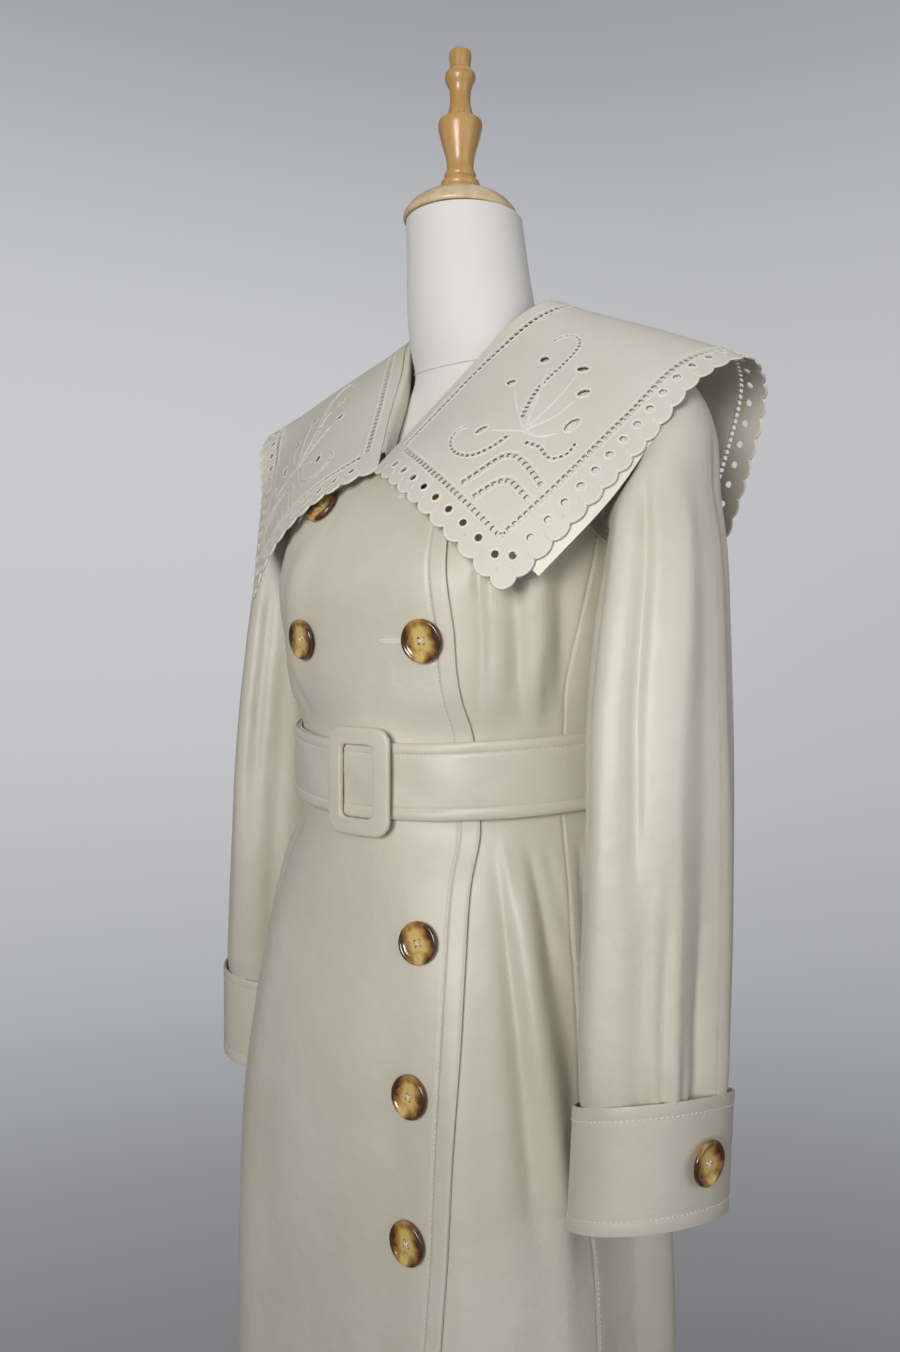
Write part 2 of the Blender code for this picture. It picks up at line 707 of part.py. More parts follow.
def side_panels():
    """Make the two side panels, which end at the foot of the armholes."""
    shares = np.linspace(0.0, 1.0, SIDE_COLUMNS)

    def across(z):
        start = front_seam(z) + SEAM_DEG
        return start + shares * (BACK_SEAM - SEAM_DEG - start)

    away = (across(ARMHOLE_Z) - ARMHOLE_ANGLE) / ARMHOLE_HALF_ANGLE
    top = ARMHOLE_Z - ARMHOLE_HALF_Z * np.sqrt(1.0 - away ** 2) - UNDERARM_DROP
    levels = BODY_LEVELS
    rows = [np.full(SIDE_COLUMNS, z) for z in levels]
    for i in range(1, UNDERARM_ROWS + 1):
        rows.append(levels[-1] + (top - levels[-1]) * i / UNDERARM_ROWS)
    z = np.array(rows)
    angle = across(z)
    for name, sign in (("left_side", 1.0), ("right_side", -1.0)):
        wall(name, body_point(sign * angle, z, CLOTH), body_point(sign * angle, z, 0.0),
             "satin_cloth")


def backs():
    """Make the two backs, which meet at the centre back seam."""
    seam = BACK_SEAM + SEAM_DEG
    for name, sign in (("left_back", 1.0), ("right_back", -1.0)):
        body_panel(
            name, np.linspace(0.0, 1.0, BACK_COLUMNS),
            lambda z, s=sign: s * (outer_angle(z, seam, 1.0) + SEAM_DEG),
            lambda z, s=sign: s * np.full(np.shape(z), 180.0 - SEAM_DEG),
            neckline_z,
            lambda angle, z: np.zeros(angle.shape))


# ---------------------------------------------------------------- sleeves
def armhole_loop(turn, sign, lift):
    """Return points of the armhole's edge, from the shoulder point round the back."""
    angle = ARMHOLE_ANGLE + (ARMHOLE_HALF_ANGLE - ARMHOLE_INSET_DEG) * np.sin(turn)
    z = ARMHOLE_Z + (ARMHOLE_HALF_Z - ARMHOLE_INSET) * np.cos(turn)
    points = body_point(sign * angle, z, lift)
    return points + np.array([sign * 3.0 * SEAM, 0.0, 0.0])


def arm_frame(index, sign):
    """Return the middle of a sleeve's ring and its outward and backward directions."""
    z, out, aft, _, _, lean_out, lean_front = SLEEVE_SECTIONS[index]
    share = 1.0
    if sign < 0.0:
        more_out, more_aft, down = RIGHT_ARM[index]
        out, aft, z = out + more_out, aft + more_aft, z - down
        share = 1.0 - (1.0 - RIGHT_ARM_LEAN) * float(smooth_step((1.20 - z) / 0.30))
    lean_out = math.radians(lean_out * share)
    lean_front = math.radians(lean_front * share)
    outwards = np.array([sign * math.cos(lean_out), 0.0, math.sin(lean_out)])
    backwards = np.array([0.0, math.cos(lean_front), -math.sin(lean_front)])
    return np.array([sign * out, aft, z]), outwards, backwards


def sleeve_ring(index, sign, turn, grow):
    """Return one ring of the sleeve, grown outwards by grow."""
    centre, outwards, backwards = arm_frame(index, sign)
    half_out, half_aft = SLEEVE_SECTIONS[index][3:5]
    return (centre + outwards * ((half_out + grow) * np.cos(turn))[:, None]
            + backwards * ((half_aft + grow) * np.sin(turn))[:, None])


def sleeve_fold(turn, share):
    """Return the depth of the sleeve's folds round one ring."""
    total = np.zeros(turn.shape)
    degrees = np.degrees(turn)
    for angle, width, depth, deepest in SLEEVE_FOLDS:
        away = (degrees - angle + 180.0) % 360.0 - 180.0
        strength = math.exp(-((share - deepest) / 0.45) ** 2) * min(1.0, share / 0.3)
        total = total + depth * strength * np.exp(-(away / width) ** 2)
    return total


def sleeves():
    """Make the two sleeves, from the armhole down to the cuff."""
    turn = np.linspace(0.0, 2.0 * math.pi, SLEEVE_SIDES, endpoint=False)
    for name, sign in (("left_sleeve", 1.0), ("right_sleeve", -1.0)):
        rings = [armhole_loop(turn, sign, CLOTH)]
        last = len(SLEEVE_SECTIONS) - 1
        for i in range(last + 1):
            fold = sleeve_fold(turn, i / last)
            if i >= last - 1:
                fold = np.minimum(fold, 0.0)
            rings.append(sleeve_ring(i, sign, turn, fold))
        outer = np.array(rings)
        inner = outer - sign * CLOTH * ring_normals(outer)
        wall(name, outer, inner, "satin_cloth", wrap=True)


def ring_normals(rings):
    """Return unit normals at the points of a stack of closed rings."""
    around = np.roll(rings, -1, axis=1) - np.roll(rings, 1, axis=1)
    along = np.gradient(rings, axis=0)
    normal = np.cross(along, around)
    return normal / np.linalg.norm(normal, axis=-1, keepdims=True)


def cuff_point(sign, turn, drop, lift):
    """Return points of a cuff at a turn in radians and a drop below its top edge."""
    turn, drop, lift = np.broadcast_arrays(turn, drop, lift)
    centre, outwards, backwards = arm_frame(len(SLEEVE_SECTIONS) - 1, sign)
    slant = drop / CUFF_HEIGHT
    middle = np.stack([centre[0] + sign * CUFF_SLANT[0] * slant,
                       centre[1] + CUFF_SLANT[1] * slant,
                       centre[2] + CUFF_TOP_ABOVE - drop], axis=-1)
    return (middle + outwards * ((CUFF_HALF_OUT + lift) * np.cos(turn))[..., None]
            + backwards * ((CUFF_HALF_AFT + lift) * np.sin(turn))[..., None])


def cuff_lift(degrees_from_start):
    """Return how far the cuff's wall stands out, so that its end laps over its start."""
    ramp = (degrees_from_start - (360.0 - CUFF_RAMP)) / CUFF_RAMP
    return (LAYER + SEAM) * smooth_step(ramp)


def cuffs():
    """Make the two cuffs, each a band whose end laps over its start."""
    span = np.linspace(0.0, 360.0 + CUFF_OVERLAP, CUFF_COLUMNS)
    drops = np.array([0.0, 0.45 * CUFF_HEIGHT, CUFF_HEIGHT])
    turn = np.radians(CUFF_START - CUFF_OVERLAP + span)[None, :]
    lift = cuff_lift(span)[None, :]
    for name, sign in (("left_cuff", 1.0), ("right_cuff", -1.0)):
        grid = np.broadcast_arrays(turn, drops[:, None], lift)
        outer = cuff_point(sign, grid[0], grid[1], grid[2] + CLOTH)
        inner = cuff_point(sign, grid[0], grid[1], grid[2])
        wall(name, outer, inner, "satin_cloth")


# ---------------------------------------------------------------- collar
def collar_stations():
    """Return the stations of the whole collar, near wing, back and far wing."""
    near = [(row[0], np.array(row[1]), np.array(row[2]), np.array(row[3]))
            for row in COLLAR_STATIONS]
    far = []
    mirror = np.array([-1.0, 1.0, 1.0])
    for count, neck, middle, edge, out, forward in reversed(COLLAR_STATIONS[:-1]):
        shift = np.array([-out, -forward, 0.0])
        far.append((2.0 * CENTRE_BACK - count, np.array(neck) * mirror,
                    np.array(middle) * mirror + 0.5 * shift, np.array(edge) * mirror + shift))
    return near + far


STATIONS = collar_stations()
STATION_COUNTS = np.array([row[0] for row in STATIONS])


def station_curve(column, count):
    """Read one of the collar's long curves at a count of scallops."""
    values = np.array([row[column] for row in STATIONS])
    return np.stack([smooth_column(STATION_COUNTS, values[:, axis], count)
                     for axis in range(3)], axis=-1)


def collar_base(count, share):
    """Return points of the collar at a count along it and a share of its width."""
    count, share = np.broadcast_arrays(np.asarray(count, float), np.asarray(share, float))
    neck = station_curve(1, count)
    middle = station_curve(2, count)
    edge = station_curve(3, count)
    s = share[..., None]
    return (neck * (1.0 - s) * (1.0 - 2.0 * s) + middle * 4.0 * s * (1.0 - s)
            + edge * s * (2.0 * s - 1.0))


def collar_point(count, share, lift):
    """Return points of the collar moved outwards by lift."""
    outwards = -normals_of(collar_base, np.asarray(count, float), np.asarray(share, float),
                           0.25, 0.02)
    return collar_base(count, share) + outwards * lift


def collar_steps(count, share, along, across):
    """Turn a move along and across the cloth, in metres, into counts and shares."""
    pull_count = (collar_base(count + 0.1, share) - collar_base(count - 0.1, share)) / 0.2
    pull_share = (collar_base(count, share + 0.01) - collar_base(count, share - 0.01)) / 0.02
    first = pull_count / np.linalg.norm(pull_count)
    second = pull_share - first * np.dot(pull_share, first)
    second = second / np.linalg.norm(second)
    target = first * along + second * across
    steps, _, _, _ = np.linalg.lstsq(np.stack([pull_count, pull_share], axis=1), target,
                                     rcond=None)
    return count + steps[0], share + steps[1]


def front_edge_length():
    """Return the length of the collar's front edge."""
    return float(np.linalg.norm(collar_base(0.0, 1.0) - collar_base(0.0, 0.0)))


def collar_outline():
    """Return the near half of the outline, from the centre back round to the neck edge."""
    outline = []
    for i in range(OUTER_SCALLOPS, 1, -1):
        for j in range(SCALLOP_STEPS):
            bulge = SCALLOP_BULGE * math.sin(math.pi * j / SCALLOP_STEPS)
            outline.append(collar_steps(i - j / SCALLOP_STEPS, 1.0, 0.0, bulge))
    length = front_edge_length()
    half = TIP_NOTCH / 2.0
    radius = half * math.sqrt(2.0) + TIP_BEYOND
    for step in range(TIP_STEPS):
        turn = math.pi * (0.25 + step / TIP_STEPS)
        along = half + radius * math.cos(turn)
        across = -half + radius * math.sin(turn)
        outline.append((along / PITCH, 1.0 + across / length))
    start = 1.0 - TIP_NOTCH / length
    for i in range(FRONT_SCALLOPS):
        for j in range(SCALLOP_STEPS):
            share = start * (1.0 - (i + j / SCALLOP_STEPS) / FRONT_SCALLOPS)
            bulge = SCALLOP_BULGE * math.sin(math.pi * j / SCALLOP_STEPS)
            outline.append((-bulge / PITCH, share))
    outline.append((0.0, 0.0))
    return outline


def eyelet_ring(count, share, half_long, half_wide, turn, sides):
    """Return the corners of one eyelet in counts and shares."""
    ring = []
    for i in range(sides):
        angle = 2.0 * math.pi * i / sides
        long_way = half_long * math.cos(angle)
        wide_way = half_wide * math.sin(angle)
        along = long_way * math.cos(turn) - wide_way * math.sin(turn)
        across = long_way * math.sin(turn) + wide_way * math.cos(turn)
        ring.append(collar_steps(count, share, along, across))
    return ring


def collar_eyelets():
    """Return the eyelets of the near half: both edges and the spray."""
    rings = []
    for i in range(1, OUTER_SCALLOPS):
        count, share = collar_steps(i + 0.5, 1.0, 0.0, -EYELET_INSET)
        rings.append(eyelet_ring(count, share, EYELET_RADIUS, EYELET_RADIUS, 0.0, EYELET_SIDES))
    start = 1.0 - TIP_NOTCH / front_edge_length()
    for i in range(FRONT_SCALLOPS - 1):
        share = start * (1.0 - (i + 0.5) / FRONT_SCALLOPS)
        rings.append(eyelet_ring(EYELET_INSET / PITCH, share, EYELET_RADIUS, EYELET_RADIUS,
                                 0.0, EYELET_SIDES))
    for count, share, half_long, half_wide, turn in SPRAY_EYELETS:
        rings.append(eyelet_ring(count, share, half_long, half_wide, math.radians(turn),
                                 SPRAY_SIDES))
    return rings


def inside_ring(point, ring, margin):
    """Tell whether a point is inside a ring grown by margin round its middle."""
    middle = np.mean(ring, axis=0)
    size = np.max(np.abs(np.asarray(ring) - middle), axis=0) + margin
    away = (np.asarray(point) - middle) / size
    return float(np.hypot(away[0], away[1])) < 1.0


def top_collar():
    """Make the scalloped top collar with its eyelets cut through."""
    near = collar_outline()
    far = [(2.0 * CENTRE_BACK - count, share) for count, share in reversed(near[1:])]
    neck = [(float(count), 0.0) for count in range(3, int(2 * CENTRE_BACK), 3)]
    outline = near + neck + far
    rings = collar_eyelets()
    rings += [[(2.0 * CENTRE_BACK - count, share) for count, share in reversed(ring)]
              for ring in rings]
    scale = (PITCH, 0.165)
    rows = [float(count) for count in (2.4, 5.6, 8.8, 11.4, 13.2, 15.0, 16.6, 18.2, 19.8, 21.6,
                                       23.6, 26.0, 29.0, 32.5, 36.0)]
    rows += [CENTRE_BACK] + [2.0 * CENTRE_BACK - count for count in rows]
    spread = [(count, share) for count in rows for share in (0.19, 0.40, 0.60, 0.79)
              if not any(inside_ring((count, share), ring, (0.25, 0.02)) for ring in rings)]
    plane = [Vector((c * scale[0], s * scale[1])) for c, s in outline]
    loops = [list(range(len(outline)))]
    for ring in rings:
        loops.append(list(range(len(plane), len(plane) + len(ring))))
        plane.extend(Vector((c * scale[0], s * scale[1])) for c, s in ring)
    plane.extend(Vector((c * scale[0], s * scale[1])) for c, s in spread)
    edges = [(loop[i], loop[(i + 1) % len(loop)]) for loop in loops for i in range(len(loop))]
    verts, out_edges, faces, _, _, face_loops = delaunay_2d_cdt(plane, edges, loops, 0, 1e-7)
    kept = [tuple(face) for face, origin in zip(faces, face_loops) if list(origin) == [0]]
    count = np.array([v[0] / scale[0] for v in verts])
    share = np.array([v[1] / scale[1] for v in verts])
    outer = collar_point(count, share, COLLAR_CLOTH)
    inner = collar_point(count, share, 0.0)
    used = sorted({i for face in kept for i in face})
    index = {old: new for new, old in enumerate(used)}
    kept = [tuple(index[i] for i in face) for face in kept]
    total = len(used)
    directed = {(face[i], face[(i + 1) % 3]) for face in kept for i in range(3)}
    rims = [(a, b) for a, b in directed if (b, a) not in directed]
    solid_faces = kept + [tuple(i + total for i in reversed(face)) for face in kept]
    solid_faces += [(b, a, a + total, b + total) for a, b in sorted(rims)]
    points = np.concatenate([outer[used], inner[used]])
    add_solid("top_collar", points, solid_faces, "embroidered_cloth")


def under_collar():
    """Make the plain under-collar, which the top collar lies on."""
    half = np.linspace(UNDER_START, CENTRE_BACK, UNDER_STEPS)
    counts = np.concatenate([half, 2.0 * CENTRE_BACK - half[-2::-1]])
    along = np.where(counts > CENTRE_BACK, 2.0 * CENTRE_BACK - counts, counts)
    reach = np.interp(along, table_column(UNDER_EDGE, 0), table_column(UNDER_EDGE, 1))
    rows = np.linspace(0.0, 1.0, UNDER_ROWS + 1)[:, None]
    share = UNDER_NECK_SHARE + rows * (reach[None, :] - UNDER_NECK_SHARE)
    count = np.broadcast_to(counts, share.shape)
    inwards = smooth_step((UNDER_SAG_FROM - rows) / (UNDER_SAG_FROM - UNDER_SAG_TO))
    backwards = smooth_step((along - UNDER_SAG_START) / (UNDER_SAG_FULL - UNDER_SAG_START))
    sag = (UNDER_GAP + UNDER_SAG * inwards * backwards[None, :])[..., None]
    outer = collar_point(count, share, -sag)
    inner = collar_point(count, share, -sag - COLLAR_CLOTH)
    wall("under_collar", outer, inner, "satin_cloth")


def collar_stand():
    """Make the inner stand, from the neck edge down inside the neckline."""
    half = np.linspace(STAND_START, CENTRE_BACK, STAND_STEPS)
    counts = np.concatenate([half, 2.0 * CENTRE_BACK - half[-2::-1]])
    crest = collar_base(counts, np.zeros(counts.shape))
    middle = np.array([0.0, 0.020, 0.0])
    inward = (middle - crest) * np.array([1.0, 1.0, 0.0])
    inward = inward / np.linalg.norm(inward, axis=-1, keepdims=True)
    down = np.array([0.0, 0.0, -1.0])
    rows = np.array([0.0, 0.4, 1.0])[:, None, None]
    outer = (crest[None] + inward[None] * (STAND_INSIDE + STAND_IN * rows)
             + down * (STAND_BELOW + STAND_DROP * rows))
    inner = outer + inward[None] * COLLAR_CLOTH
    wall("collar_stand", outer, inner, "satin_cloth")


# ---------------------------------------------------------------- belt
def belt_point(angle, height, lift):
    """Return points of the belt: angle round the waist, height from its middle line."""
    angle, height = np.broadcast_arrays(np.asarray(angle, float), np.asarray(height, float))
    rise = BELT_SIDE_RISE * np.sin(np.radians(angle)) ** 2
    level = np.full(angle.shape, BELT_Z)
    waist = body_base(angle, level)
    outwards = normals_of(body_base, angle, level, 1.0, 0.001)
    outwards[..., 2] = 0.0
    outwards = outwards / np.linalg.norm(outwards, axis=-1, keepdims=True)
    points = waist + outwards * (BELT_CLEAR + lift)
    points[..., 2] = BELT_Z + rise + height
    return points


def belt():
    """Make the belt, its tail and the covered buckle."""
    half = BELT_WIDTH / 2.0
    heights = np.array([-half, 0.0, half])[:, None]
    angle = np.linspace(-180.0, 180.0, BELT_SIDES, endpoint=False)[None, :]
    outer = belt_point(angle, heights, BELT_LIFT + BELT_THICK)
    inner = belt_point(angle, heights, BELT_LIFT)
    wall("belt", outer, inner, "satin_cloth", wrap=True)
    angle = np.linspace(TAIL_FROM, TAIL_TO, 22)[None, :]
    outer = belt_point(angle, heights, TAIL_LIFT + TAIL_THICK)
    inner = belt_point(angle, heights, TAIL_LIFT)
    wall("belt_tail", outer, inner, "satin_cloth")


def rounded_rectangle(width, height, corner, steps):
    """Return the points of a rectangle with round corners, anticlockwise."""
    points = []
    for quarter, (sx, sy) in enumerate(((1, 1), (-1, 1), (-1, -1), (1, -1))):
        for step in range(steps + 1):
            turn = math.pi / 2.0 * (quarter + step / steps)
            points.append((sx * (width / 2.0 - corner) + corner * math.cos(turn),
                           sy * (height / 2.0 - corner) + corner * math.sin(turn)))
    return points


def buckle():
    """Make the buckle, a frame bent to the waist's curve."""
    rim = rounded_rectangle(BUCKLE_WIDTH, BUCKLE_HEIGHT, BUCKLE_CORNER, BUCKLE_STEPS)
    window = rounded_rectangle(BUCKLE_WINDOW[0], BUCKLE_WINDOW[1], WINDOW_CORNER, BUCKLE_STEPS)
    soft = 0.0012

    def ring(points, shrink, lift):
        across = np.array([p[0] * (1.0 - shrink / BUCKLE_WIDTH) + BUCKLE_X for p in points])
        upright = np.array([p[1] * (1.0 - shrink / BUCKLE_HEIGHT) for p in points])
        angle = angle_at_x(across, np.full(across.shape, BELT_Z))
        return belt_point(angle, upright + BUCKLE_Z - BELT_Z, lift)

    rings = (
        ring(rim, 0.0, BUCKLE_LIFT),
        ring(rim, 0.0, BUCKLE_LIFT + BUCKLE_THICK - soft),
        ring(rim, 2.4 * soft, BUCKLE_LIFT + BUCKLE_THICK),
        ring(window, -2.4 * soft, BUCKLE_LIFT + BUCKLE_THICK),
        ring(window, 0.0, BUCKLE_LIFT + BUCKLE_THICK - soft),
        ring(window, 0.0, BUCKLE_LIFT),
    )
    count = len(rim)
    points = np.concatenate(rings)
    faces = []
    for i in range(len(rings)):
        k = (i + 1) % len(rings)
        for j in range(count):
            m = (j + 1) % count
            faces.append((i * count + j, i * count + m, k * count + m, k * count + j))
    add_solid("buckle", points, faces, "satin_cloth")


# ---------------------------------------------------------------- buttons
def turned_faces(rows, sides):
    """Return the faces of a turned shape with a pole at each end of its profile."""
    faces = []
    last = (rows - 3) * sides
    for j in range(sides):
        k = (j + 1) % sides
        faces.append((0, 1 + k, 1 + j))
        for i in range(rows - 3):
            a = 1 + i * sides
            faces.append((a + j, a + k, a + sides + k, a + sides + j))
        faces.append((1 + last + j, 1 + last + k, 1 + last + sides))
    return faces


def turned(name, profile, sides, finish_name, centre=(0.0, 0.0, 0.0), axes=None):
    """Make a turned piece from radius and height pairs whose ends lie on the axis."""
    first, second, up = axes if axes is not None else np.eye(3)
    centre = np.asarray(centre, dtype=float)
    points = [centre + up * profile[0][1]]
    for radius, height in profile[1:-1]:
        for j in range(sides):
            turn = 2.0 * math.pi * j / sides
            points.append(centre + up * height
                          + (first * math.cos(turn) + second * math.sin(turn)) * radius)
    points.append(centre + up * profile[-1][1])
    add_solid(name, np.array(points), turned_faces(len(profile), sides), finish_name)


def button(name, seat, outwards):
    """Make one button on a seat, facing outwards."""
    outwards = outwards / np.linalg.norm(outwards)
    first = np.cross(np.array([0.0, 0.0, 1.0]), outwards)
    first = first / np.linalg.norm(first)
    second = np.cross(outwards, first)
    turned(name, BUTTON_PROFILE, BUTTON_SIDES, "horn_button", seat, (first, second, outwards))


def body_button(name, x, z):
    """Make a button on the front that laps over."""
    z = np.array(z)
    angle = angle_at_x(np.array(x), z)
    seat_lift = LAP_LIFT + CLOTH + SEAM
    outwards = normals_of(body_folded, angle, z, 2.0, 0.010)
    clear = max(float(np.max((body_point(angle_at_x(np.array(x + dx), z + dz), z + dz, seat_lift)
                              - body_point(angle, z, seat_lift)) @ outwards))
                for dx in (-0.016, 0.0, 0.016) for dz in (-0.016, 0.0, 0.016))
    seat = body_point(angle, z, seat_lift) + outwards * max(clear, 0.0)
    button(name, seat, outwards)


def buttons():
    """Make the upper pairs, the column below the belt and one button on each cuff."""
    for name, x, z in FRONT_BUTTONS:
        body_button(name, x, z)
    for name, sign in (("button_cuff_left", 1.0), ("button_cuff_right", -1.0)):
        turn = math.radians(CUFF_BUTTON_ANGLE)
        drop = 0.50 * CUFF_HEIGHT
        lift = LAYER + SEAM + CLOTH

        def at(angle, depth, off=lift, s=sign):
            return cuff_point(s, np.array(angle), np.array(depth), off)

        around = at(turn + 0.05, drop) - at(turn - 0.05, drop)
        down = at(turn, drop + 0.01) - at(turn, drop - 0.01)
        outwards = np.cross(around, down)
        outwards = outwards / np.linalg.norm(outwards)
        if outwards[0] * sign < 0.0:
            outwards = -outwards
        button(name, at(turn, drop) + outwards * 0.0004, outwards)


# ---------------------------------------------------------------- dress form and stand
def dress_form():
    """Make the torso with its neck, the wooden cap and finial, and the stand."""
    turn = np.linspace(0.0, 2.0 * math.pi, FORM_SIDES, endpoint=False)
    points = [np.array([0.0, 0.0, FORM_SECTIONS[0][0]])]
    for z, side, front, back, mid_y in FORM_SECTIONS:
        for t in turn:
            depth = front if math.sin(t) < 0.0 else back
            points.append(np.array([side * math.cos(t), mid_y + depth * math.sin(t), z]))
    points.append(np.array([0.0, FORM_SECTIONS[-1][4], FORM_SECTIONS[-1][0]]))
    add_solid("form_torso", np.array(points),
              turned_faces(len(FORM_SECTIONS) + 2, FORM_SIDES), "form_white")
    axis = (0.0, NECK_AXIS_Y, 0.0)
    turned("neck_cap", CAP_PROFILE, TURNED_SIDES, "turned_wood", axis)
    turned("neck_finial", FINIAL_PROFILE, TURNED_SIDES, "turned_wood", axis)
    turned("stand", STAND_PROFILE, STAND_SIDES, "painted_stand")


def main():
    """Build every piece."""
    clear_scene()
    fronts()
    side_panels()
    backs()
    sleeves()
    cuffs()
    under_collar()
    collar_stand()
    top_collar()
    belt()
    buckle()
    buttons()
    dress_form()


main()
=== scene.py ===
"""Dressing of a trench coat with a cutwork cape collar, on a limbless dress form.

Metres, +Z up, the coat's front towards -Y and the wearer's left towards +X. Every cloth
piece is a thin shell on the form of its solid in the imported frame, with finer folds.
"""
import logging
import math
from dataclasses import dataclass, field
from enum import Enum
from typing import Callable, Dict, List, Optional, Sequence, Tuple

import bpy
import numpy as np
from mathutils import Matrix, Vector
from mathutils.geometry import delaunay_2d_cdt


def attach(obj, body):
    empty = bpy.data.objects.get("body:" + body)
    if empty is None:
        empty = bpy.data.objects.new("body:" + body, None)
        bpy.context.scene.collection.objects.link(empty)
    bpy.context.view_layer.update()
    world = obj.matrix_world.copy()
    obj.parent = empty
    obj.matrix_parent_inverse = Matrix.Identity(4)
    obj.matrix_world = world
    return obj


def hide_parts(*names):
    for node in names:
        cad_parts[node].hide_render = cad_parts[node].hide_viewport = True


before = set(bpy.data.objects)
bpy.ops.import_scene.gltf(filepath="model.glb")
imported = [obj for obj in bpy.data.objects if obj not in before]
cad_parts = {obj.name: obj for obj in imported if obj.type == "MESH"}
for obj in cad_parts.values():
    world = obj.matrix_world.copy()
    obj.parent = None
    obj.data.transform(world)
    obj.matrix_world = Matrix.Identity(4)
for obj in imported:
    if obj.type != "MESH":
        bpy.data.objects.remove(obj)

LOG = logging.getLogger("trench_coat")
Row = Tuple[float, ...]
Rows = Tuple[Row, ...]
Faces = List[Tuple[int, ...]]
Colour = Tuple[float, float, float, float]
Socket = bpy.types.NodeSocket

CLOTH = 0.0016
SEAM = 0.0003
COLLAR_CLOTH = 0.0012
# The armhole: its middle angle and half width in degrees, its middle height and half height.
ARMHOLE: Row = (90.0, 27.0, 1.2730, 0.0700)
UV_NAME = "cloth"


class Arm(Enum):
    """Which side of the wearer a paired piece is on."""

    LEFT = 1.0
    RIGHT = -1.0

    @property
    def word(self) -> str:
        """Return the side's word as the nodes' names have it."""
        return "left" if self is Arm.LEFT else "right"


class Held(Enum):
    """How a sheet of cloth is held."""

    HUNG = "hung"
    LAID = "laid"
    STRETCHED = "stretched"


# ------------------------------------------------------------------ colours and nodes
def linear(code: str) -> Colour:
    """Turn an sRGB hex colour into a linear one.

    Args:
        code: the colour as #RRGGBB.

    Returns:
        Red, green, blue and an alpha of 1.
    """
    channels = []
    for i in (1, 3, 5):
        value = int(code[i:i + 2], 16) / 255.0
        channels.append(value / 12.92 if value <= 0.04045 else ((value + 0.055) / 1.055) ** 2.4)
    return (channels[0], channels[1], channels[2], 1.0)


def feed(tree: bpy.types.NodeTree, node: bpy.types.Node, inputs: Dict) -> None:
    """Give a node's inputs their values, or links where a value is an output socket."""
    for name, value in inputs.items():
        if isinstance(value, Socket):
            tree.links.new(value, node.inputs[name])
        else:
            node.inputs[name].default_value = value


def add_node(tree: bpy.types.NodeTree, kind: str, inputs: Optional[Dict] = None,
             **settings) -> bpy.types.Node:
    """Add a node with its settings, its values and its links.

    Args:
        tree: the node tree.
        kind: the node's Blender type.
        inputs: values or output sockets, by the input's name or number.
        settings: the node's own properties.

    Returns:
        The node.
    """
    node = tree.nodes.new(kind)
    for key, value in settings.items():
        setattr(node, key, value)
    feed(tree, node, inputs or {})
    return node


def place_of(tree: bpy.types.NodeTree) -> Socket:
    """Return the place on the object, in metres."""
    return add_node(tree, "ShaderNodeTexCoord").outputs["Object"]


def place_on_cloth(tree: bpy.types.NodeTree) -> Socket:
    """Return the place on the cloth, in metres along its threads."""
    return add_node(tree, "ShaderNodeUVMap", uv_map=UV_NAME).outputs["UV"]


def noise(tree: bpy.types.NodeTree, place: Socket, scale: float, detail: float,
          distortion: float = 0.0) -> Socket:
    """Return a cloudy level at a place."""
    return add_node(tree, "ShaderNodeTexNoise",
                    {"Vector": place, "Scale": scale, "Detail": detail,
                     "Distortion": distortion}).outputs["Fac"]


def blend(tree: bpy.types.NodeTree, factor, first, second) -> Socket:
    """Return a colour between two, which are colours or sockets."""
    return add_node(tree, "ShaderNodeMix", {"Factor": factor, 6: first, 7: second},
                    data_type="RGBA").outputs[2]


def bump(tree: bpy.types.NodeTree, height: Socket, strength: float, distance: float,
         **below: Socket) -> Socket:
    """Return the normal of a relief, which may lie on the one given as Normal."""
    return add_node(tree, "ShaderNodeBump", {"Height": height, "Strength": strength,
                                             "Distance": distance, **below}).outputs["Normal"]


def colour_ramp(tree: bpy.types.NodeTree, level: Socket,
                stops: Sequence[Tuple[float, str]]) -> bpy.types.Node:
    """Add a colour ramp through stops, each a place and a hex colour."""
    node = add_node(tree, "ShaderNodeValToRGB", {"Fac": level})
    elements = node.color_ramp.elements
    for element, (place, colour) in zip(elements, (stops[0], stops[-1])):
        element.position, element.color = place, linear(colour)
    for place, colour in stops[1:-1]:
        elements.new(place).color = linear(colour)
    return node


@dataclass(frozen=True)
class Finish:
    """A finish: its name, its main colour and how rough it is."""

    name: str
    colour: str
    roughness: float

    def inputs(self, tree: bpy.types.NodeTree) -> Dict:
        """Return the finish's own values and sockets for the shader's inputs."""
        raise NotImplementedError

    def material(self) -> bpy.types.Material:
        """Return the material, made once.

        Returns:
            The material with its node tree.
        """
        if self.name in bpy.data.materials:
            return bpy.data.materials[self.name]
        material = bpy.data.materials.new(self.name)
        material.use_nodes = True
        tree = material.node_tree
        shader = tree.nodes["Principled BSDF"]
        feed(tree, shader, {"Base Color": linear(self.colour), "Roughness": self.roughness})
        feed(tree, shader, self.inputs(tree))
        return material


